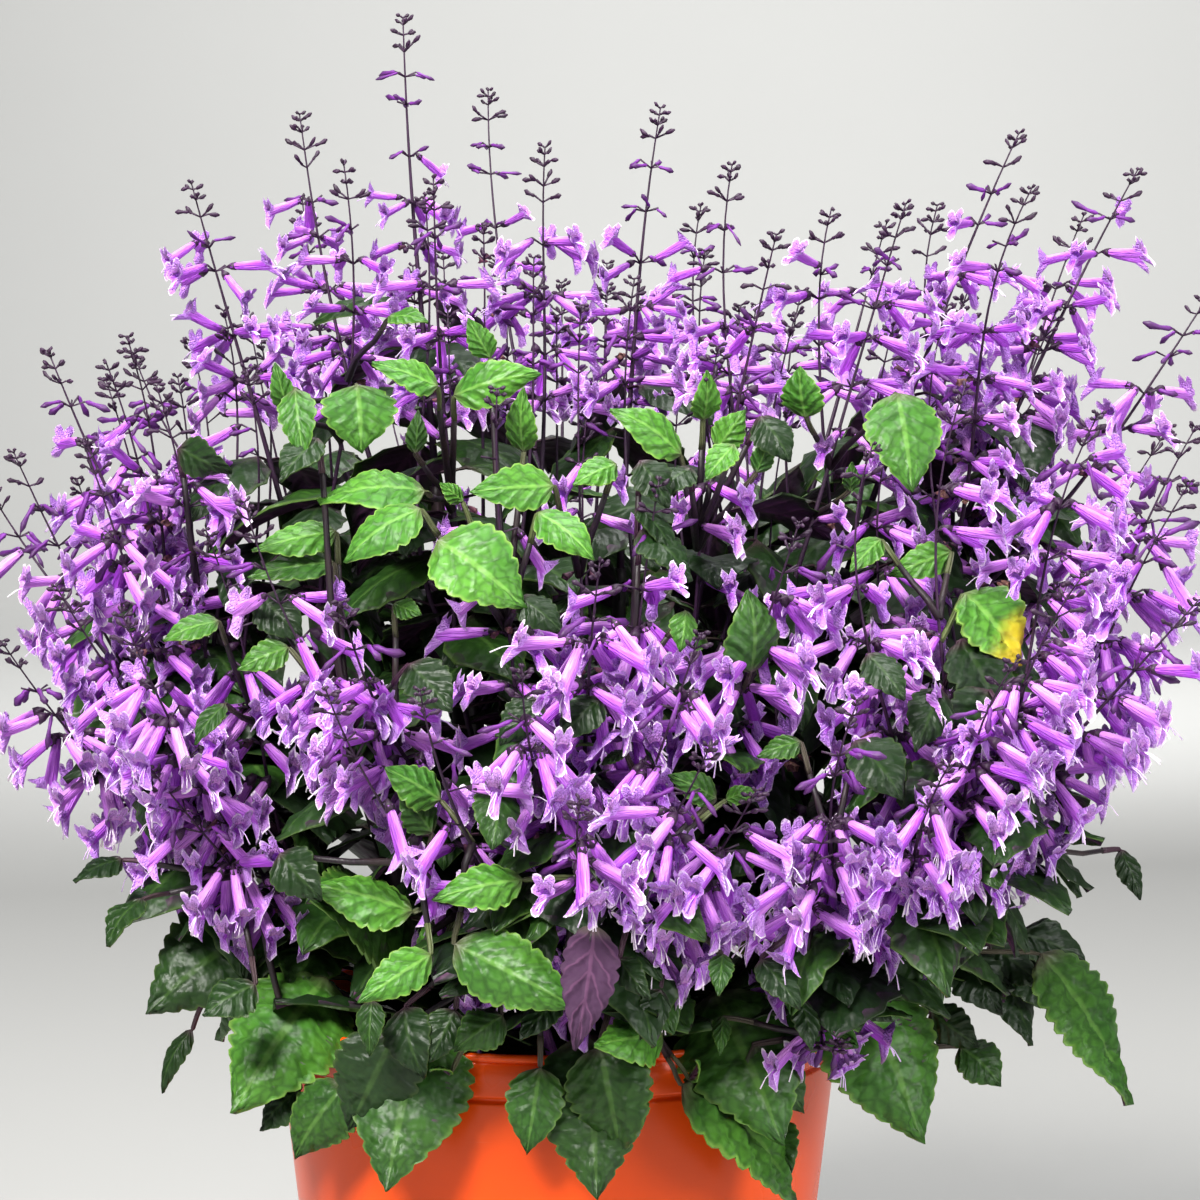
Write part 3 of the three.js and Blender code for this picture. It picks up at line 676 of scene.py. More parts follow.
class Spike:
    """One rachis with its whorls, added to a skin as petals and as dark parts."""

    def __init__(self, skin, rng, guard, tip):
        self.skin = skin
        self.rng = rng
        self.guard = guard
        self.size = float(np.interp(tip[2], [400, 520, 580], [0.98, 0.8, 0.68]))
        self.bare = rng.uniform(12, 36) + max(0, tip[2] - 540) * 0.5

    def bud(self, origin, forward, length, thick, stage):
        shape = TIP_RINGS if length < 5 else BUD_RINGS
        rings = shape * [length, thick, thick]
        share = shape[..., 0]
        rings[..., 2] += self.rng.uniform(-0.16, 0.24) * length * share**2
        traits = traits_of(share, self.rng.random(), stage)
        self.skin.loft(put(rings, origin, basis(forward, UP)), rings, traits, DARK)

    def pedicel(self, start, end):
        self.skin.loft(tube(np.array([start, end]), [0.36, 0.5], 3), start, (0, 0.5, 0), DARK)

    def calyx(self, origin, forward, spent=False):
        turn = basis(forward, UP, self.rng.uniform(0, 1))
        rings = SPENT_RINGS if spent else CALYX_RINGS
        stage = 0.85 + 0.3 * self.rng.random() if spent else 0.25
        traits = traits_of(np.clip(rings[..., 0] / 5, 0, 1), self.rng.random(), stage)
        size = self.size * self.rng.uniform(0.85, 1.15)
        self.skin.loft(put(rings, origin, turn, size), rings, traits, DARK)

    def flower(self, origin, forward):
        rng = self.rng
        size = self.size * rng.uniform(0.9, 1.08)
        rings = flower_rings(rng)
        plain = origin[1] > -10 or (origin[2] < LEAFY_BELOW and within(origin, PLAIN_SHARE))
        if plain:
            rings = rings[:, PLAIN_SIDES]
        turn = basis(forward, UP, rng.uniform(-0.35, 0.35))
        tone = rng.random() * (0.5 if origin[2] > 440 else 1.0)
        traits = traits_of(FLOWER_EDGE[:, None], tone, FLOWER_LIP[:, None])
        self.skin.loft(put(rings, origin, turn, size), rings, traits, PETAL, np.s_[LIP_RING])
        threads = 0 if plain else rng.integers(1, 4)
        for side in (-1, 1, 0.2)[:threads]:
            reach = rng.uniform(4.5, 9.5)
            tip = TUBE_FULL + reach
            points = np.array([
                (TUBE_FULL - 2, 0, -0.6), (0.5 * (TUBE_FULL + tip), 0.7 * side, -1.3),
                (tip, 1.1 * side, -1.6 - 0.2 * reach),
            ])
            thread = put(tube(points, [0.2, 0.2, 0.34], 3), origin, turn, size)
            self.skin.loft(thread, points[0], (1, tone, 1), PETAL)
        self.calyx(origin, forward)

    def cyme(self, at, radius, up, azimuth, down, habit):
        """The few flowers, buds or calyces on one side of a node."""
        rng = self.rng
        full, droop = habit
        young = down < YOUNG_DOWN
        if young:
            count = 1 + (down < 16 and down > 2)
        else:
            count = 2 + (rng.random() < full) + (at[1] < -30 and at[2] < 420)
        for k in range(count):
            fan = (k - (count - 1) / 2) * 0.62 + rng.normal(0, 0.12)
            out = level(azimuth + fan)
            start = at + out * radius * 0.6
            if young:
                end = start + (out + up * rng.uniform(0.2, 0.9)) * (0.8 + 0.13 * down) * (1 + 0.5 * k)
                self.pedicel(start, end)
                length = (2.2 + 0.17 * down) * rng.uniform(0.8, 1.25)
                forward = out + up * rng.uniform(-0.1, 0.9)
                self.bud(end, forward, length, 0.75 + 0.012 * down, 0.1)
                continue
            lift = rng.uniform(0.15, 0.8)
            reach = rng.uniform(3.0, 7.5) * self.size
            end = start + unit(out + up * lift) * reach
            pitch = -droop + rng.normal(0, 0.34)
            forward = pitched(sideways(azimuth + fan * 1.5), pitch)
            grown = min(1.0, (down - self.bare) / 24)
            chance = full * grown * float(np.interp(down, [100, 170], [1, 0.3]))
            tip = end + forward * TUBE_FULL * self.size
            if tip[2] < LEAFY_BELOW and within(tip, HIDDEN_FRONT if tip[1] < 0 else HIDDEN_BACK):
                continue
            if full <= 1 and (self.guard(tip) or self.guard(end + forward * 9)):
                continue
            self.pedicel(start, end)
            if rng.random() < chance:
                self.flower(end + forward * 2.0 * self.size, forward)
            elif down < BUD_DOWN:
                if k < 2:
                    rise = UP * rng.uniform(-0.2, 0.35)
                    self.bud(end, forward + rise, rng.uniform(7, 15) * self.size,
                             rng.uniform(1.0, 1.7) * self.size, rng.uniform(0.4, 0.6))
            else:
                self.calyx(end + forward * 1.5, forward, spent=rng.random() < 0.75)

    def grow(self, line, start, habit, thick, pitch):
        """The rachis from that share of a line up to its end, with a whorl every pitch or so."""
        rng = self.rng
        rows = max(6, int(line.length * (1 - start) / 9))
        shares = np.linspace(start, 1, rows)
        points = line.at(shares)
        sway = rng.uniform(0, 6.28, 2)
        amount = np.sin(np.pi * (shares - start) / (1 - start))[:, None] * 0.8
        points = points + amount * np.stack([
            np.sin(7 * shares + sway[0]), np.cos(6 * shares + sway[1]), 0 * shares], -1)
        radii = 0.3 + (thick - 0.3) * (1 - (shares - start) / (1 - start)) ** 1.25
        rings = tube(points, radii, 5)
        self.skin.loft(rings, rings, (0, rng.random(), 0), DARK)
        length = line.length * (1 - start)
        downs = [TIP_DOWNS[0]] + [d * rng.uniform(0.88, 1.12) for d in TIP_DOWNS[1:]]
        while downs[-1] + pitch < length - 10:
            downs.append(downs[-1] + pitch * rng.uniform(0.85, 1.12))
        spin = rng.uniform(0, np.pi)
        for k, down in enumerate(downs):
            share = 1 - down / line.length
            at = line.at(share)
            here = np.argmin(np.abs(shares - share))
            at = at + (points[here] - line.at(shares[here]))
            up = line.heading(share)
            for side in (0, np.pi):
                azimuth = spin + side + k * np.pi / 2 + rng.normal(0, 0.15)
                self.cyme(at, radii[here], up, azimuth, down, habit)


# Leaves

# The numbers of the two finishes of a piece of leaves.
LEAF, TWIG = 0, 1
# Fields between the side veins along a leaf, and how far the veins slant forward.
VEINS = 5
VEIN_SLOPE = 1.35


def leaf_shape(u):
    """Half of a leaf's width along it, as a share of its widest half."""
    return np.sin(np.pi * np.clip(u, 0, 1) ** 0.68) ** 0.8 * (1 - 0.22 * u**4)


def leaf_relief(u, v):
    """0 along the side veins and the midrib, and 1 in the middle of the fields between."""
    cell = u * VEINS - np.abs(v) * VEIN_SLOPE
    field = 1 - np.abs(2 * (cell - np.floor(cell)) - 1)
    return np.minimum(field * 1.6, 1) * np.minimum(np.abs(v) * 5, 1)


def grow_leaf(skin, rng, root, base, tip, facing, width, tone, arch, teeth, fine=True,
              turned_over=False):
    """A petiole from root to base and a toothed blade from base to tip, as one closed shell."""
    root, base, tip = (np.array(p, float) for p in (root, base, tip))
    span = tip - base
    length = np.linalg.norm(span)
    ahead = span / length
    facing = unit(facing - ahead * np.dot(facing, ahead))
    steps, columns, stalk_width, stalk_rows = (3, 9, 1.3, 5) if fine else (2, 5, 0.9, 3)
    u = np.linspace(0, 1, teeth * steps + 1)
    v = np.linspace(-1, 1, columns)[None]
    away = np.abs(v)
    blade = Line(base, base + 0.4 * span + facing * arch * length * 1.3,
                 base + 0.78 * span + facing * arch * length * 0.8, tip)
    stalk = Line(root, root + 0.55 * (base - root) + facing * 0.1 * np.linalg.norm(base - root),
                 base - (blade.at(0.05) - base) * 0.8, base)
    no_blade = np.zeros(stalk_rows)
    centre = np.concatenate([stalk.at(np.linspace(0, 0.94, stalk_rows)), blade.at(u)])
    along = unit(np.gradient(centre, axis=0))
    side = unit(np.cross(along, facing))
    normal = np.cross(side, along)
    twist = rng.normal(0, 0.25) * np.concatenate([no_blade, u**1.5])[:, None]
    c, s = np.cos(twist), np.sin(twist)
    side, normal = side * c + normal * s, normal * c - side * s
    saw = np.arange(len(u)) % steps / steps
    notch = np.repeat(rng.uniform(0.05, 0.16, teeth + 1), steps)[:len(u)]
    tooth = 1 - notch * np.where((u > 0.08) & (u < 0.97), saw == 0, 0.5)
    half = 0.55 * width * leaf_shape(u) * tooth
    half = np.concatenate([stalk_width * np.linspace(1, 0.8, stalk_rows), np.maximum(half, 0.3)])
    across = v * half[:, None]
    uu = np.concatenate([no_blade, u])[:, None]
    on_blade = np.concatenate([no_blade, np.minimum(u * 8, 1)])[:, None]
    puff = 0.07 * width * (leaf_relief(uu, v) * (1 - away**3)) * on_blade
    cup = rng.uniform(-0.36, 0.12)
    wave = rng.uniform(0.02, 0.055) * width
    phase = rng.uniform(0, 6.28, 2)
    lift = cup * half[:, None] * away**1.5 * on_blade
    ripple = np.sin(uu * rng.uniform(6, 11) + phase[0] + np.sign(v))
    height = puff + lift + wave * v**2 * ripple * on_blade
    crown = np.sqrt(np.maximum(0, 1 - v**2))
    stalk_crown = 0.65 * stalk_width * crown
    top = height + np.where(on_blade > 0.5, 0, stalk_crown)
    bottom = np.where(on_blade > 0.5, 0.8 * height - 0.4 - 0.7 * crown, height - stalk_crown)
    middle = centre[:, None] + across[..., None] * side[:, None]
    upper, lower = (middle + rise[..., None] * normal[:, None] for rise in (top, bottom))
    rings = np.concatenate([upper[:, ::-1], lower], axis=1)
    pattern_v = np.concatenate([v[:, ::-1], v], axis=1)
    over = np.concatenate([np.ones(v.shape), away > 0.7], axis=1)
    if turned_over:
        over = 1 - over
    skin.loft(rings, traits_of(uu * length, pattern_v, uu), traits_of(over, tone, 1 - on_blade),
              LEAF, np.s_[stalk_rows:, [0, columns - 1, columns, -1]])


def twig(skin, rng, root, heading, end):
    """A thin dark side shoot from a stem to where a far leaf's petiole starts."""
    span = end - root
    length = np.linalg.norm(span)
    line = Line(root, root + 0.3 * length * unit(heading + unit(span)),
                end - 0.3 * length * unit(span + UP * 0.2 * length), end)
    shares = np.linspace(0, 1, max(4, int(length / 10)))
    rings = tube(line.at(shares), 1.5 - 0.5 * shares, 6, square=0.06)
    skin.loft(rings, rings, (0, rng.random(), 0), TWIG)


# Finishes

class Term:
    """A node's output that can stand in arithmetic."""

    def __init__(self, finish, socket):
        self.finish = finish
        self.socket = socket

    def __add__(self, other):
        return self.finish.math("ADD", self, other)

    def __sub__(self, other):
        return self.finish.math("SUBTRACT", self, other)

    def __rsub__(self, other):
        return self.finish.math("SUBTRACT", other, self)

    def __mul__(self, other):
        return self.finish.math("MULTIPLY", self, other)

    __radd__ = __add__
    __rmul__ = __mul__

    def absolute(self):
        return self.finish.math("ABSOLUTE", self)

    def fraction(self):
        return self.finish.math("FRACT", self)

    def up_to(self, limit):
        return self.finish.math("MINIMUM", self, limit)

    def at_least(self, limit):
        return self.finish.math("MAXIMUM", self, limit)

    def rising(self, low, high):
        """0 below low, 1 above high, and smooth between them."""
        return self.finish.node(
            "ShaderNodeMapRange", {"interpolation_type": "SMOOTHSTEP"},
            {"Value": self, "From Min": low, "From Max": high})


class Finish:
    """A material whose nodes are made by expressions and by node()."""

    def __init__(self, name, specular=0.5):
        self.material = bpy.data.materials.new(name)
        self.material.use_nodes = True
        self.tree = self.material.node_tree
        self.tree.nodes.clear()
        self.shader = self.tree.nodes.new("ShaderNodeBsdfPrincipled")
        self.shader.inputs["Specular IOR Level"].default_value = specular
        out = self.tree.nodes.new("ShaderNodeOutputMaterial")
        self.tree.links.new(self.shader.outputs[0], out.inputs[0])

    def feed(self, socket, value):
        """Links a term to a socket, or sets the socket to a number or a colour."""
        if isinstance(value, Term):
            self.tree.links.new(value.socket, socket)
        elif hasattr(value, "__len__") and len(value) == 3 and socket.type == "RGBA":
            socket.default_value = (*value, 1.0)
        else:
            socket.default_value = value

    def node(self, kind, settings=None, inputs=None, out=0):
        """Any node, by its kind, its settings, what feeds it and which output is wanted."""
        made = self.tree.nodes.new(kind)
        for key, value in (settings or {}).items():
            if key == "stops":
                ramp = made.color_ramp
                while len(ramp.elements) < len(value):
                    ramp.elements.new(0.5)
                for element, (place, hue) in zip(ramp.elements, value):
                    element.position = place
                    element.color = (*hue, 1.0)
            else:
                setattr(made, key, value)
        for key, value in (inputs or {}).items():
            self.feed(made.inputs[key], value)
        return Term(self, made.outputs[out])

    def math(self, operation, *values):
        return self.node("ShaderNodeMath", {"operation": operation}, dict(enumerate(values)))

    def mix(self, amount, one, two, blend="MIX"):
        """Two colours blended; they go into a Mix node's inputs 6 and 7 and leave by output 2."""
        settings = {"data_type": "RGBA", "blend_type": blend}
        return self.node("ShaderNodeMix", settings, {0: amount, 6: one, 7: two}, 2)

    def ramp(self, value, *stops):
        return self.node("ShaderNodeValToRGB", {"stops": stops}, {"Fac": value})

    def kept(self, name):
        """The three numbers that each point of a mesh keeps under a name."""
        return self.node("ShaderNodeAttribute", {"attribute_name": name}, out=1)

    def parts(self, vector):
        split = self.node("ShaderNodeSeparateXYZ", None, {0: vector})
        return [Term(self, socket) for socket in split.socket.node.outputs]

    def join(self, x, y, z):
        return self.node("ShaderNodeCombineXYZ", None, {0: x, 1: y, 2: z})

    def stretch(self, vector, scale):
        return self.node("ShaderNodeVectorMath", {"operation": "MULTIPLY"}, {0: vector, 1: scale})

    def noise(self, vector, scale, detail=2.0, rough=0.5):
        inputs = {"Vector": vector, "Scale": scale, "Detail": detail, "Roughness": rough}
        return self.node("ShaderNodeTexNoise", None, inputs)

    def cells(self, vector, scale, feature="F1", dimensions="2D"):
        settings = {"voronoi_dimensions": dimensions, "feature": feature}
        return self.node("ShaderNodeTexVoronoi", settings, {"Vector": vector, "Scale": scale})

    def place(self):
        """The point in the object's own space, in metres."""
        return self.node("ShaderNodeTexCoord", out=3)

    def bump(self, height, strength, distance):
        inputs = {"Height": height, "Strength": strength, "Distance": distance}
        return self.node("ShaderNodeBump", None, inputs)

    def surface(self, **sockets):
        """Feeds the shader's inputs, named like base_color, and gives the material."""
        for key, value in sockets.items():
            self.feed(self.shader.inputs[key.replace("_", " ").title()], value)
        return self.material


def petal_finish(settings):
    f = Finish("petal")
    place = f.kept("place")
    x, y, z = f.parts(place)
    edge, tone, lip = f.parts(f.kept("traits"))
    streaks = f.noise(f.stretch(place, (0.12, 1.6, 1.6)), 1.0, 1.0)
    deep, light = tuple(settings.tube_dark), tuple(settings.tube_light)
    # The z term makes the top of each tube lighter than its underside: painted light from above, mixed
    # with the flower's own random tone and streaks.
    shade = tone * 0.45 + streaks * 0.55 + z * 0.09 + 0.02
    body = f.mix(shade.rising(0.2, 0.85), deep, light)
    # Painted shade: the flanks of each tube, away from its middle line, are darkened towards deep
    # violet.
    body = f.mix(y.absolute().rising(1.3, 2.4) * 0.5, body, colour(132, 38, 178))
    body = f.mix((1 - x.rising(0.2, 3.2)) * 0.55, body, colour(96, 22, 130))
    # Painted highlight: a pale, streaky line along the top of each tube.
    body = f.mix(z.rising(1.2, 2.4) * 0.4 * streaks.rising(0.3, 0.7), body, colour(232, 186, 248))
    face = f.mix(tone * 0.6 + streaks * 0.3, tuple(settings.lip), colour(222, 164, 245))
    face = f.mix(edge.rising(0.52, 0.88) * (tone * 0.6 + 0.45).up_to(1.0), face, tuple(settings.rim))
    specks = (0.27 - f.cells(f.join(y, z, 0.0), 1.15)).rising(0.0, 0.1)
    inner = 1 - edge.rising(0.1, 0.3)
    near = z.rising(0.8, 2.2) * (1 - z.rising(5.0, 6.6)) * inner
    stripe = (y * 0.9 + streaks).fraction()
    veins = (1 - (stripe * 2 - 1).absolute().rising(0.12, 0.3)) * inner * 0.35
    face = f.mix(specks * near * 0.8, face, colour(104, 40, 150))
    face = f.mix(veins, face, colour(126, 62, 176))
    hue = f.mix(lip.rising(0.2, 0.75), body, face)
    return f.surface(
        base_color=hue,
        roughness=0.42 + streaks * 0.2,
        normal=f.bump(streaks, 0.9, 0.0014),
    )


def dark_finish(settings):
    """Rachis, calyces, buds and spent calyces; the third trait says how far on each is."""
    f = Finish("calyx")
    share, tone, stage = f.parts(f.kept("traits"))
    mottle = f.noise(f.place(), 900.0, 1.0)
    early = f.mix(tone * 0.6, tuple(settings.calyx), colour(34, 12, 34))
    bud = f.mix(share.rising(0.25, 0.9) * 0.75, colour(120, 40, 150), colour(52, 14, 62))
    spent = f.ramp(
        tone * 0.6 + mottle * 0.4,
        (0.2, colour(52, 20, 44)), (0.5, colour(104, 52, 78)), (0.85, colour(176, 128, 112)))
    hue = f.mix(stage.rising(0.26, 0.5), early, bud)
    hue = f.mix(stage.rising(0.7, 0.85), hue, spent)
    shade = f.ramp(mottle, (0.3, (0.35, 0.35, 0.35)), (0.7, (1, 1, 1)))
    hue = f.mix(0.5, hue, shade, "MULTIPLY")
    return f.surface(
        base_color=hue,
        roughness=0.45 + mottle * 0.25,
        normal=f.bump(mottle, 0.5, 0.0004),
    )


def stem_finish(settings):
    f = Finish("dark_stem")
    at = f.place()
    streak = f.noise(f.stretch(at, (900, 900, 70)), 1.0, 3.0)
    blotch = f.noise(at, 60.0, 3.0)
    hue = f.mix(blotch.rising(0.45, 0.7) * 0.6, tuple(settings.skin), colour(44, 28, 24))
    hue = f.mix(streak.rising(0.5, 0.8) * 0.25, hue, colour(76, 42, 66))
    return f.surface(
        base_color=hue,
        roughness=0.42 + streak * 0.25,
        normal=f.bump(streak, 0.5, 0.0005),
    )


def leaf_finish(settings):
    f = Finish("leaf", 0.32)
    length, v, u = f.parts(f.kept("place"))
    over, tone, petiole = f.parts(f.kept("traits"))
    at = f.place()
    side = v.absolute()
    wander = f.noise(at, 70.0, 1.0)
    cell = (u * VEINS - side * VEIN_SLOPE + (wander - 0.5) * 0.9).fraction()
    gap = 1 - (cell * 2 - 1).absolute()
    vein = (1 - gap.rising(0.05, 0.24)) * (1 - side.rising(0.8, 1.0))
    midrib = 1 - side.rising(0.035, 0.1)
    ribs = vein.at_least(midrib)
    patch = f.noise(at, 45.0, 2.0)
    net = f.cells(f.join(length, v * 16, 0.0), 0.19, "DISTANCE_TO_EDGE").up_to(0.25) * 4
    fresh = f.mix(patch.rising(0.35, 0.7) * 0.6, tuple(settings.bright), colour(50, 110, 32))
    # Low tones take the darkest colour, which is partly painted shade for leaves deep inside the plant.
    body = f.mix(tone.rising(0.0, 0.95), tuple(settings.dull_and_shaded), fresh)
    # Painted shade: the sunken side veins and the fine net between them are darkened, as shade lies in
    # their grooves.
    body = f.mix(((1 - net) * 0.4 + vein * 0.3).up_to(0.5), body, colour(14, 38, 12))
    body = f.mix(midrib * 0.4 * tone.up_to(1.0), body, colour(140, 190, 92))
    body = f.mix(side.rising(0.88, 1.0) * 0.4 * tone.up_to(1.0), body, colour(168, 205, 96))
    yellow = (tone - 1.0).rising(0.0, 0.3) * (patch + u).rising(0.95, 1.35)
    body = f.mix(yellow, body, colour(208, 186, 44))
    under = f.mix(ribs * 0.35, tuple(settings.under), colour(116, 72, 106))
    body = f.mix(over, under, body)
    stalk = f.mix(tone.up_to(1.0) * 0.6, colour(66, 30, 58), colour(104, 128, 62))
    body = f.mix(petiole, body, stalk)
    pillow = gap.rising(0.0, 0.8) * side.rising(0.0, 0.25)
    pucker = f.noise(at, 230.0, 1.0)
    height = pillow * 0.7 + pucker * 1.1
    return f.surface(
        base_color=body,
        roughness=0.36 + patch * 0.18 + (1 - over) * 0.25,
        normal=f.bump(height, 0.7, 0.0013),
    )


def plastic_finish(settings):
    f = Finish("moulded_plastic", 0.28)
    at = f.place()
    _, _, z = f.parts(at)
    cloud = f.noise(at, 14.0, 3.0)
    fine = f.noise(at, 900.0, 2.0)
    scratch = f.noise(f.stretch(at, (60, 60, 900)), 1.0, 3.0, 0.7)
    dust = f.noise(f.stretch(at, (30, 30, 12)), 1.0, 5.0, 0.65)
    hue = f.mix(cloud.rising(0.3, 0.75) * 0.35, tuple(settings.plastic), colour(216, 62, 10))
    soiled = dust.rising(0.5, 0.85) * (1 - z.rising(0.0, 0.06)) * 0.5
    splash = dust.rising(0.62, 0.8) * z.rising(0.15, 0.19) * 0.12
    hue = f.mix(soiled + splash, hue, colour(150, 96, 66))
    scuffs = scratch.rising(0.66, 0.8) * 0.18
    hue = f.mix(scuffs, hue, colour(242, 150, 110))
    return f.surface(
        base_color=hue,
        roughness=0.24 + cloud * 0.08 + (soiled + scuffs) * 0.5,
        normal=f.bump(fine * 0.25 + scratch * 0.5 + cloud, 0.12, 0.0006),
    )


def soil_finish(settings):
    f = Finish("damp_soil")
    at = f.place()
    pale, tone, _ = f.parts(f.kept("traits"))
    crumbs = f.cells(at, 420.0, dimensions="3D")
    fine = f.noise(at, 1300.0, 4.0)
    hue = f.ramp(fine * 0.6 + tone * 0.4, (0.25, colour(22, 15, 12)),
                 (0.55, tuple(settings.soil)), (0.8, colour(88, 62, 44)))
    hue = f.mix(pale, hue, f.mix(fine, colour(206, 200, 186), colour(232, 228, 218)))
    return f.surface(
        base_color=hue,
        roughness=0.8 + fine * 0.2,
        normal=f.bump(crumbs + fine * 0.6, 0.9, 0.0015),
    )


def stage_finish(settings):
    f = Finish("pale_floor")
    grain = f.noise(f.place(), 3.0)
    shade = f.ramp(grain, (0.3, (0.8, 0.8, 0.8)), (0.7, (1, 1, 1)))
    hue = f.mix(0.06, tuple(settings.backdrop), shade, "MULTIPLY")
    return f.surface(base_color=hue, roughness=0.85)


def finish_named(name, make, settings):
    """The finish if an earlier piece made it, or else a new one."""
    return bpy.data.materials.get(name) or make(settings)


# Pot

# Heights of the band's foot and of the groove's, the groove's depth and the wall's thickness, and
# then radii: below the band, of the base, of the bead at the rim and of the band.
BAND_FOOT = 173.0
GROOVE_FOOT = 171.0
GROOVE_DEPTH = 1.4
POT_WALL = 2.4
SHOULDER = 112.0
BASE = 92.0
RIM = 114.0
BAND = RIM - 1.4
DRAIN_CIRCLE = 58.0
DRAIN_RADIUS = 5.0


def wall_inside(height):
    """The radius of the wall's inside at a height."""
    return BASE - POT_WALL + (SHOULDER - BASE) / GROOVE_FOOT * height


def arc(middle, radius, start, end, steps):
    """Points of height and reach round a middle, by angles from outward, in degrees."""
    return [
        (middle[0] + radius * math.sin(math.radians(a)), middle[1] + radius * math.cos(math.radians(a)))
        for a in np.linspace(start, end, steps)
    ]


def pot_profile():
    """Height and radius from the middle of the base, up the outside, and down the inside."""
    bead_foot = POT_TOP - 2.8
    slope = [(h, BASE + (SHOULDER - BASE) * h / GROOVE_FOOT) for h in (6, 60, 120, 169.8)]
    inside = [(h, wall_inside(h)) for h in (GROOVE_FOOT - 4, 90, 5)]
    return [
        (1.2, 0.01), (1.2, BASE - 14), (0.1, BASE - 12), *arc((2.2, BASE - 2.1), 2.1, -90, 0, 6),
        *slope, (GROOVE_FOOT - 0.2, SHOULDER - 0.3), (GROOVE_FOOT + 0.4, SHOULDER - GROOVE_DEPTH),
        (BAND_FOOT - 0.3, SHOULDER - GROOVE_DEPTH), (BAND_FOOT + 0.3, BAND - 0.3),
        (BAND_FOOT + 1, BAND), (BAND_FOOT + 8, BAND + 0.1), (bead_foot - 1.6, BAND),
        (bead_foot - 0.9, BAND - 0.5), (bead_foot - 0.3, BAND - 1.2),
        *arc((POT_TOP - 1.5, RIM - 1.6), 1.5, -80, 90, 10),
        (POT_TOP - 0.3, RIM - 3.4), (bead_foot, BAND - POT_WALL), (BAND_FOOT + 3, BAND - POT_WALL),
        *inside, (3.2, wall_inside(3) - 2), (3.0, wall_inside(3) - 5), (3.0, 0.01),
    ]


def cut_drain_holes(pot):
    """Takes four round holes out of the pot's floor."""
    tool = Skin()
    for k in range(4):
        angle = 2 * math.pi * (k + 0.5) / 4
        hole = turned([(-3, DRAIN_RADIUS), (8, DRAIN_RADIUS)], 32)
        tool.loft(hole + DRAIN_CIRCLE * level(angle))
    drill = tool.build("drill", [])
    cut = pot.modifiers.new("drain_holes", "BOOLEAN")
    cut.object = drill
    cut.solver = "EXACT"
    with bpy.context.temp_override(object=pot):
        bpy.ops.object.modifier_apply(modifier=cut.name)
    bpy.data.objects.remove(drill)


class PLECTRANTHUS_OT_pot(bpy.types.Operator):
    """Turn the plastic pot with its beaded rim, and cut the drain holes"""

    bl_idname = "plectranthus.pot"
    bl_label = "Pot"

    def execute(self, context):
        settings = context.scene.plectranthus_pot
        skin = Skin()
        skin.loft(turned(pot_profile(), settings.sides))
        pot = skin.build("flower_pot", [finish_named("moulded_plastic", plastic_finish, settings)])
        cut_drain_holes(pot)
        settle(pot, "pot_plastic", "pot")
        return {"FINISHED"}


def crumb(skin, rng, at, size, traits):
    """A small lump with a rough outline."""
    profile = [(-0.9, 0.3), (-0.35, 0.9), (0.35, 0.85), (0.9, 0.25)]
    rings = turned(profile, 6) * rng.uniform(0.75, 1.25, (4, 6, 3))
    skin.loft(at + size * rings @ basis(rng.normal(0, 1, 3), UP), (0, 0, 0), traits)


SOIL_CROWN = 3.0


def soil_height(share):
    """How high the soil is piled, that share of the way out to the pot's wall."""
    return SOIL_EDGE + SOIL_CROWN * (1 - share**2)


class PLECTRANTHUS_OT_soil(bpy.types.Operator):
    """Fill the pot with crumbly potting soil"""

    bl_idname = "plectranthus.soil"
    bl_label = "Potting soil"

    def execute(self, context):
        settings = context.scene.plectranthus_pot
        rng = np.random.default_rng(11)
        low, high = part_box("potting_soil")
        edge = high.x / MM
        rings = [(low.z / MM + 0.2, wall_inside(low.z / MM) - 0.5), (SOIL_EDGE - 6, edge - 0.8),
                 (SOIL_EDGE - 0.5, edge - 0.6)]
        rings += [(soil_height(share), edge * share) for share in np.linspace(0.97, 0.02, 22)]
        rings = turned(rings, 96)
        for i in range(3, len(rings)):
            for point in rings[i]:
                place = Vector(point) / 9
                rough = noise.noise(place) * 1.6 + noise.noise(place * 3.1) * 0.9
                point[2] = min(point[2] + rough, high.z / MM + 1.5)
        skin = Skin()
        skin.loft(rings, rings, (0, 0.5, 0))
        for _ in range(settings.crumbs):
            reach = (edge - 6) * math.sqrt(rng.random())
            at = level(rng.uniform(0, 6.28)) * reach + UP * soil_height(reach / edge)
            pale = float(rng.random() < 0.12)
            crumb(skin, rng, at, rng.uniform(0.8, 2.4), (pale, rng.random(), 0))
        soil = skin.build("soil_plug", [finish_named("damp_soil", soil_finish, settings)])
        settle(soil, "potting_soil", "potting_soil")
        return {"FINISHED"}


# How far apart a stem's knots are, and how much thicker it is there.
KNOT_PITCH, KNOT_SWELL = 42, 0.16


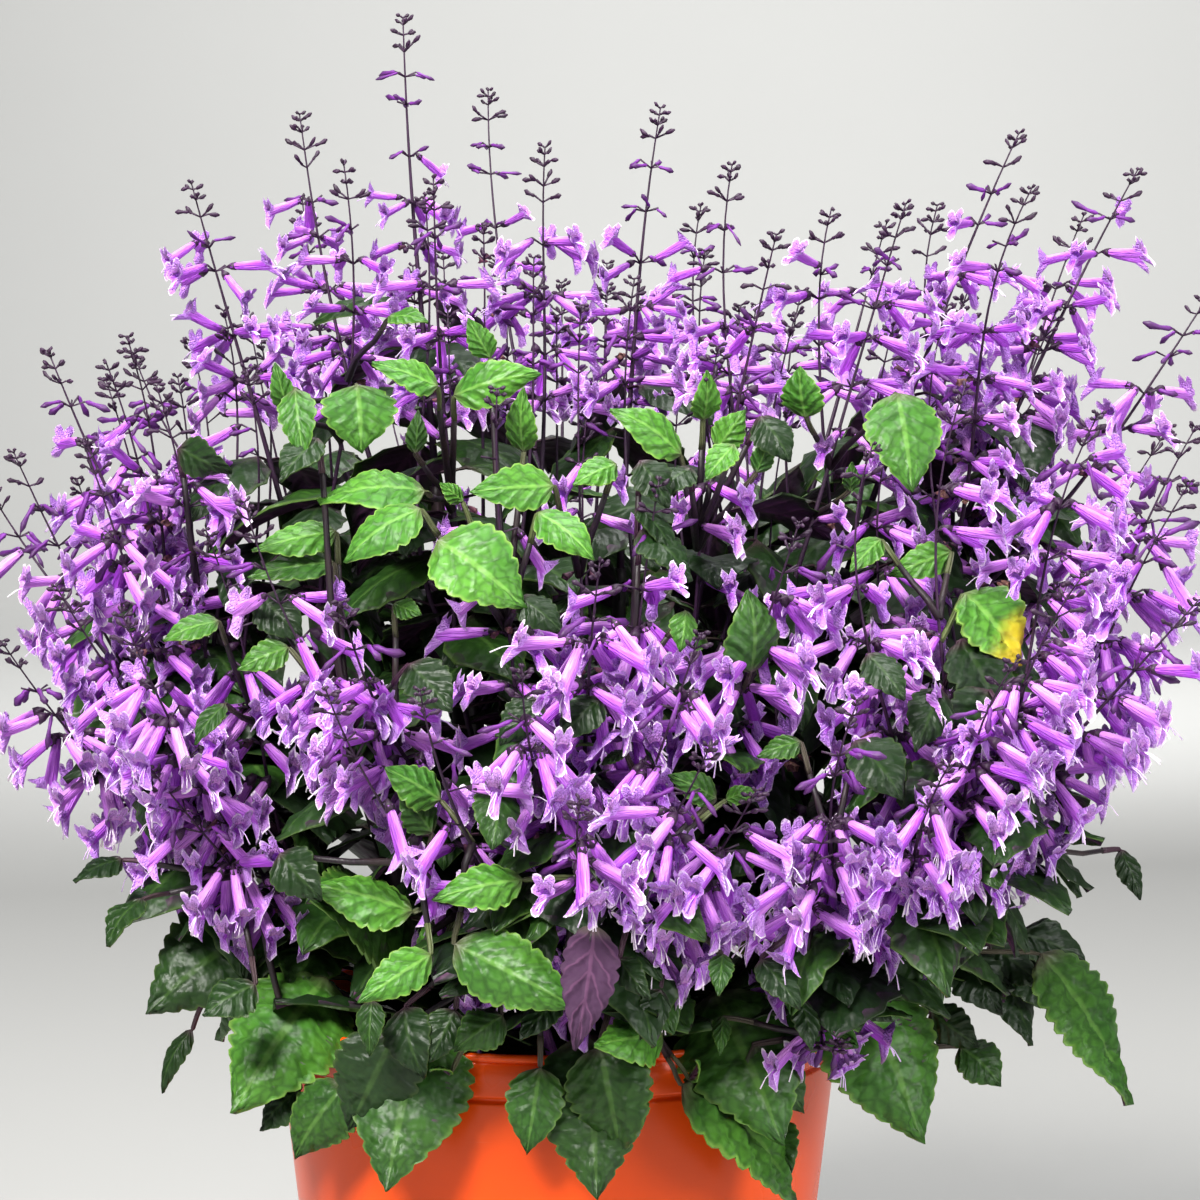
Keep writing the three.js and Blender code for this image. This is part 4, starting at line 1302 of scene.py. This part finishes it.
class PLECTRANTHUS_OT_stems(bpy.types.Operator):
    """Grow the square main stems out of the soil"""

    bl_idname = "plectranthus.stems"
    bl_label = "Main stems"

    def execute(self, context):
        settings = context.scene.plectranthus_stem
        finish = finish_named("dark_stem", stem_finish, settings)
        for index, stem in enumerate(STEMS):
            rng = np.random.default_rng(100 + index)
            length = stem.line.length * stem.share
            rows = int(length / 3.5)
            shares = np.linspace(0, stem.share, rows)
            width = np.linspace(settings.foot, settings.top, rows) / MM / 2
            beat = np.cos(2 * np.pi * np.arange(rows) * length / rows / KNOT_PITCH)
            swell = 1 + KNOT_SWELL * np.maximum(0, beat - 0.8) / 0.2
            radii = width * swell * rng.uniform(0.97, 1.03, rows)
            rings = tube(stem.line.at(shares), radii * 1.12, 12, math.pi / 4, 0.1)
            skin = Skin()
            skin.loft(rings, rings, (0, rng.random(), 0))
            piece = skin.build(f"stem_{index + 1:02d}", [finish])
            settle(piece, "stem_skin", f"main_stem_{index + 1:02d}")
        return {"FINISHED"}


# Leaves of the list with at least these tones show, or show well, and flowers keep clear of them.
SHOWN_TONE, BRIGHT_TONE = 0.3, 0.5
FRONT_BIG_LEAVES = 9
BIG_LEAF_REACH = 50
GUARD_BEHIND = 15


def leaf_guard(view):
    """A test of whether a flower at a point would stand in front of a leaf that shows."""
    shown = []
    for row in [*SEEN_LEAVES, TURNED_LEAF]:
        if row[5] < SHOWN_TONE:
            continue
        x, y = (row[0] + 2 * row[2]) / 3, (row[1] + 2 * row[3]) / 3
        reach = 0.36 * math.hypot(row[2] - row[0], row[3] - row[1])
        if row[5] >= BRIGHT_TONE:
            reach = reach * 1.35 + 10
        away = view.pixel(seen_place(view, x, y, leaf_depth(row)))[2]
        shown.append(((row[0] + row[2]) / 2, (row[1] + row[3]) / 2, reach, away))
        shown.append((x, y, reach * 0.8, away))
    for row in BIG_LEAVES[:FRONT_BIG_LEAVES]:
        tip = np.array(row[2:5], float)
        x, y = view.pixel(tip * [0.95, 0.95, 1] + UP * 18)[:2]
        shown.append((x, y, BIG_LEAF_REACH, view.pixel(tip)[2]))
    shown = np.array(shown)

    def hides(point):
        x, y, away = view.pixel(point)
        near = np.hypot(shown[:, 0] - x, shown[:, 1] - y) < shown[:, 2]
        return bool(np.any(near & (away < shown[:, 3] + GUARD_BEHIND)))

    return hides


def spike_habit(tip, full=None):
    """How full of open flowers a spike is, and how far they droop, in radians."""
    if full is None:
        full = float(np.interp(tip[2], [380, 450, 520, 585], [0.95, 0.9, 0.85, 0.75]))
    if tip[1] > 60:
        full *= 0.75
    droop = math.radians(np.interp(tip[2], [320, 420, 520], [46, 30, 10]))
    return full, droop


@functools.lru_cache(maxsize=None)
def side_lines():
    """The rachis of each side spike, and then of each fine one, from its stem to its tip."""
    lines = []
    for index, (parent, along, *tip) in enumerate(SIDE_SPIKES):
        stem = STEMS[parent]
        share = along * stem.share
        lines.append(side_line(stem.line.at(share), stem.line.heading(share), tip,
                               len(MAIN_TIPS) + index))
    for index, (x, y, z, _) in enumerate(FINE_SPIKES):
        tip = np.array([x, y, z], float)
        root, heading = nearest_root(tip, 175, STEM_LINES)
        lines.append(side_line(root, heading, tip, 50 + index))
    return lines


def spike_finishes(settings):
    return [finish_named("petal", petal_finish, settings),
            finish_named("calyx", dark_finish, settings)]


class PLECTRANTHUS_OT_spikes(bpy.types.Operator):
    """Grow the flower spikes that end the main stems, and the larger side spikes"""

    bl_idname = "plectranthus.spikes"
    bl_label = "Flower spikes"

    def execute(self, context):
        settings = context.scene.plectranthus_flower
        guard = leaf_guard(View(context.scene.plectranthus_stage))
        finishes = spike_finishes(settings)
        lines = STEM_LINES + [(line, 0.0) for line in side_lines()[:len(SIDE_SPIKES)]]
        for index, (line, start) in enumerate(lines):
            tip = line.at(1.0)
            skin = Skin()
            spike = Spike(skin, np.random.default_rng(200 + index), guard, tip)
            spike.grow(line, start, spike_habit(tip), 1.7, settings.pitch / MM)
            piece = skin.build(f"spike_{index + 1:02d}", finishes)
            settle(piece, "flower_lavender", f"flower_spike_{index + 1:02d}")
        return {"FINISHED"}


class PLECTRANTHUS_OT_fine_spikes(bpy.types.Operator):
    """Grow the finer spikes between the others, in one piece for each sector of the plant"""

    bl_idname = "plectranthus.fine_spikes"
    bl_label = "Fine spikes"

    def execute(self, context):
        settings = context.scene.plectranthus_flower
        guard = leaf_guard(View(context.scene.plectranthus_stage))
        skins = defaultdict(Skin)
        for index, line in enumerate(side_lines()[len(SIDE_SPIKES):]):
            *place, full = FINE_SPIKES[index]
            tip = line.at(1.0)
            skin = skins[sector_of(place, 12)]
            spike = Spike(skin, np.random.default_rng(300 + index), guard, tip)
            spike.grow(line, 0.0, spike_habit(tip, full), 1.3, settings.pitch / MM)
        settle_groups(skins, "fine_spikes", spike_finishes(settings), "flower_lavender")
        return {"FINISHED"}


def leaf_finishes(scene):
    return [finish_named("leaf", leaf_finish, scene.plectranthus_leaf),
            finish_named("dark_stem", stem_finish, scene.plectranthus_stem)]


class PLECTRANTHUS_OT_big_leaves(bpy.types.Operator):
    """Lay the largest leaves where the frame holds them"""

    bl_idname = "plectranthus.big_leaves"
    bl_label = "Big leaves"

    def execute(self, context):
        finishes = leaf_finishes(context.scene)
        for index, row in enumerate(BIG_LEAVES):
            parent, along, x, y, z, width, roll, arch, tone = row
            rng = np.random.default_rng(400 + index)
            stem = STEMS[parent]
            root = stem.line.at(along * stem.share)
            tip = np.array([x, y, z], float)
            span = (tip - root) * [1, 1, 0]
            bend = root + 0.8 * span + UP * arch
            line = Line(root, bend, tip)
            base = line.at(max(0.3, 1 - 1.55 * width / line.length))
            chord = tip - base
            side = unit(np.cross(span, UP))
            face = unit(np.cross(side, chord))
            turn = math.radians(roll)
            facing = face * math.cos(turn) + side * math.sin(turn)
            bulge = np.dot(line.at(0.7) - 0.5 * (base + tip), face) / np.linalg.norm(chord)
            skin = Skin()
            grow_leaf(skin, rng, root, base, tip, facing, width, tone, arch=max(bulge, 0.05),
                      teeth=12)
            piece = skin.build(f"big_leaf_{index + 1:02d}", finishes)
            settle(piece, "leaf_green", f"leaf_{index + 1:02d}")
        return {"FINISHED"}


# In the view: below this row leaves hang over the rim, from and to these shares of the outline.
RIM_ROW = 1000
HANG_FROM, HANG_TO = 0.86, 0.98
STRIP_WIDTH, LAST_STRIP = 200, 5
STALK = 12


def seen_ends(view, rng, row, turned_over):
    """Where a leaf of the list has its base and its tip."""
    bx, by, tx, ty, *_ = row
    if by > RIM_ROW:
        return seen_place(view, bx, by, HANG_FROM), seen_place(view, tx, ty, HANG_TO)
    share = HANG_TO if turned_over else leaf_depth(row) + rng.uniform(-0.04, 0.04)
    base = seen_place(view, bx, by, share)
    away = view.pixel(base)[2] - rng.uniform(2, 12)
    ray = view.ray(tx, ty)
    return base, view.eye + ray * away / np.dot(ray, -view.axes[2])


class PLECTRANTHUS_OT_seen_leaves(bpy.types.Operator):
    """Lay the leaves that show between the flowers at the front, on twigs where they are far out"""

    bl_idname = "plectranthus.seen_leaves"
    bl_label = "Front leaves"

    def execute(self, context):
        view = View(context.scene.plectranthus_stage)
        bearers = STEM_LINES + [(line, 0.6) for line in side_lines()]
        skins = defaultdict(Skin)
        rows = [(row, False) for row in SEEN_LEAVES] + [(TURNED_LEAF, True)]
        for index, (row, turned_over) in enumerate(rows):
            bx, by, tx, ty, width, tone = row
            rng = np.random.default_rng(500 + index)
            base, tip = seen_ends(view, rng, row, turned_over)
            width *= math.hypot(tx - bx, ty - by) * view.pixel(tip)[2] / view.focal
            root, heading = nearest_root(base, STALK, bearers, 0.1)
            span = base - root
            far = np.linalg.norm(span) > 26
            end = base - unit(span) * STALK if far else root
            front = np.array([base[0] * 0.4, -120.0, 75.0])
            facing = unit(unit(front) + rng.normal(0, 0.22, 3))
            skin = skins[min(LAST_STRIP, int(bx / STRIP_WIDTH))]
            if far:
                twig(skin, rng, root, heading, end)
            teeth = int(np.clip(np.linalg.norm(tip - base) / 4.5, 6, 10))
            grow_leaf(skin, rng, end, base, tip, facing, width, tone, arch=rng.uniform(0.08, 0.2),
                      teeth=teeth, turned_over=turned_over)
        settle_groups(skins, "front_leaves", leaf_finishes(context.scene), "leaf_green")
        return {"FINISHED"}


def leaf_pair(skin, rng, root, azimuth, length, reach):
    """Two plain leaves on opposite sides of a stem."""
    for side in (0, math.pi):
        turn = azimuth + side + rng.normal(0, 0.25)
        out = level(turn)
        base = root + out * reach * rng.uniform(0.7, 1.2) + UP * rng.uniform(0, 0.4) * reach
        size = length * rng.uniform(0.85, 1.15)
        tip = base + pitched(turn + rng.normal(0, 0.2), rng.uniform(-1.1, -0.05)) * size
        tip[2] = max(tip[2], POT_TOP + 14)
        facing = unit(UP + out * 0.4 + rng.normal(0, 0.15, 3))
        grow_leaf(skin, rng, root, base, tip, facing, size * rng.uniform(0.6, 0.74),
                  rng.uniform(0.0, 0.34), arch=rng.uniform(0.06, 0.22), teeth=5, fine=False)


class PLECTRANTHUS_OT_foliage(bpy.types.Operator):
    """Set pairs of plain leaves up each main stem and up the feet of the side spikes"""

    bl_idname = "plectranthus.foliage"
    bl_label = "Foliage"

    def execute(self, context):
        settings = context.scene.plectranthus_leaf
        finishes = leaf_finishes(context.scene)
        for index, stem in enumerate(STEMS):
            rng = np.random.default_rng(600 + index)
            skin = Skin()
            spin = rng.uniform(0, math.pi)
            for pair, along in enumerate(np.linspace(0.14, 0.97, settings.per_stem)):
                root = stem.line.at(along * stem.share)
                reach = rng.uniform(8, 15) if pair % 2 else rng.uniform(18, 34)
                leaf_pair(skin, rng, root, spin + pair * math.pi / 2, rng.uniform(52, 72), reach)
            for pair, down in enumerate((112, 130, 148, 168)):
                root = stem.line.at(1 - down / stem.line.length)
                leaf_pair(skin, rng, root, spin + pair * math.pi / 2, 20 + 0.2 * down,
                          rng.uniform(5, 11))
            piece = skin.build(f"foliage_{index + 1:02d}", finishes)
            settle(piece, "leaf_green")
        skins = defaultdict(Skin)
        for index, line in enumerate(side_lines()):
            rng = np.random.default_rng(700 + index)
            spin = rng.uniform(0, math.pi)
            skin = skins[sector_of(line.at(0.3), 8)]
            shares = (0.12, 0.27, 0.42) if index < len(SIDE_SPIKES) else (0.15, 0.33)
            for pair, share in enumerate(shares):
                leaf_pair(skin, rng, line.at(share), spin + pair * math.pi / 2,
                          rng.uniform(28, 46), rng.uniform(6, 12))
        settle_groups(skins, "side_foliage", finishes, "leaf_green")
        return {"FINISHED"}


# Stage

# Lamps: place, what it points at, how wide, its share of the key light's power, and its colour.
LAMPS = {
    "key": ((-0.8, -1.7, 2.0), (0, 0, 0.3), 0.8, 1.0, (1.0, 0.98, 0.95)),
    "fill": ((1.8, -1.4, 0.9), (0, 0, 0.3), 1.2, 0.26, (1.0, 1.0, 1.0)),
    "top": ((0.3, 0.3, 2.3), (0, 0, 0.3), 1.2, 0.4, (1.0, 1.0, 1.0)),
    "back": ((0.4, 2.4, 1.9), (0, 4.6, 1.0), 2.0, 0.96, (1.0, 1.0, 1.0)),
}


def area_light(name, place, aim, size, power, hue):
    data = bpy.data.lights.new(name, "AREA")
    data.shape = "DISK"
    data.size = size
    data.energy = power
    data.color = hue
    lamp = bpy.data.objects.new(name, data)
    bpy.context.scene.collection.objects.link(lamp)
    lamp.location = place
    lamp.rotation_euler = (Vector(aim) - Vector(place)).to_track_quat("-Z", "Y").to_euler()


def sweep_mesh(width, front, back, height, bend):
    """A floor that curves up into a backdrop, as rows of points across."""
    rows = [(-front, 0.0), (back - bend, 0.0)]
    rows += [
        (back - bend + bend * math.sin(a), bend - bend * math.cos(a))
        for a in np.linspace(0, math.pi / 2, 17)[1:]
    ]
    rows.append((back, height))
    mesh = bpy.data.meshes.new("sweep")
    points = [(x, y, z) for y, z in rows for x in (-width / 2, width / 2)]
    faces = [(2 * i, 2 * i + 1, 2 * i + 3, 2 * i + 2) for i in range(len(rows) - 1)]
    mesh.from_pydata(points, [], faces)
    mesh.polygons.foreach_set("use_smooth", [True] * len(faces))
    return mesh


class PLECTRANTHUS_OT_stage(bpy.types.Operator):
    """Set the camera, the pale floor and the soft studio light"""

    bl_idname = "plectranthus.stage"
    bl_label = "Stage"

    def execute(self, context):
        settings = context.scene.plectranthus_stage
        data = bpy.data.cameras.new("front_camera")
        data.sensor_fit = "HORIZONTAL"
        data.angle = settings.field
        camera = bpy.data.objects.new("front_camera", data)
        context.scene.collection.objects.link(camera)
        camera.matrix_world = View(settings).matrix()
        context.scene.camera = camera
        sweep = bpy.data.objects.new("backdrop", sweep_mesh(14.0, 4.0, 5.0, 5.0, 1.2))
        sweep.data.materials.append(stage_finish(settings))
        context.scene.collection.objects.link(sweep)
        world = bpy.data.worlds.new("room")
        world.use_nodes = True
        light = world.node_tree.nodes["Background"]
        light.inputs["Color"].default_value = (0.93, 0.96, 1.0, 1.0)
        light.inputs["Strength"].default_value = settings.sky
        context.scene.world = world
        for name, (place, aim, size, share, hue) in LAMPS.items():
            area_light(name, place, aim, size, settings.key * share, hue)
        context.scene.view_settings.view_transform = "Standard"
        return {"FINISHED"}


# Add-on

SETTINGS = {
    "plectranthus_stage": StageSettings,
    "plectranthus_pot": PotSettings,
    "plectranthus_stem": StemSettings,
    "plectranthus_flower": FlowerSettings,
    "plectranthus_leaf": LeafSettings,
}
OPERATORS = [
    PLECTRANTHUS_OT_stage, PLECTRANTHUS_OT_pot, PLECTRANTHUS_OT_soil, PLECTRANTHUS_OT_stems,
    PLECTRANTHUS_OT_spikes, PLECTRANTHUS_OT_fine_spikes, PLECTRANTHUS_OT_big_leaves,
    PLECTRANTHUS_OT_seen_leaves, PLECTRANTHUS_OT_foliage,
]


class PLECTRANTHUS_PT_panel(bpy.types.Panel):
    """Lists the settings and the pieces in the order that they are made"""

    bl_idname = "PLECTRANTHUS_PT_panel"
    bl_label = "Potted Plectranthus"
    bl_space_type = "VIEW_3D"
    bl_region_type = "UI"
    bl_category = "Plectranthus"

    def draw(self, context):
        for key, group in SETTINGS.items():
            box = self.layout.box()
            for name in group.__annotations__:
                box.prop(getattr(context.scene, key), name)
        for operator in OPERATORS:
            self.layout.operator(operator.bl_idname)


def register():
    for key, group in SETTINGS.items():
        bpy.utils.register_class(group)
        setattr(bpy.types.Scene, key, PointerProperty(type=group))
    for operator in OPERATORS:
        bpy.utils.register_class(operator)
    bpy.utils.register_class(PLECTRANTHUS_PT_panel)


def unregister():
    bpy.utils.unregister_class(PLECTRANTHUS_PT_panel)
    for operator in reversed(OPERATORS):
        bpy.utils.unregister_class(operator)
    for key, group in SETTINGS.items():
        delattr(bpy.types.Scene, key)
        bpy.utils.unregister_class(group)


def main():
    register()
    for operator in OPERATORS:
        family, name = operator.bl_idname.split(".")
        getattr(getattr(bpy.ops, family), name)()


if __name__ == "__main__":
    main()
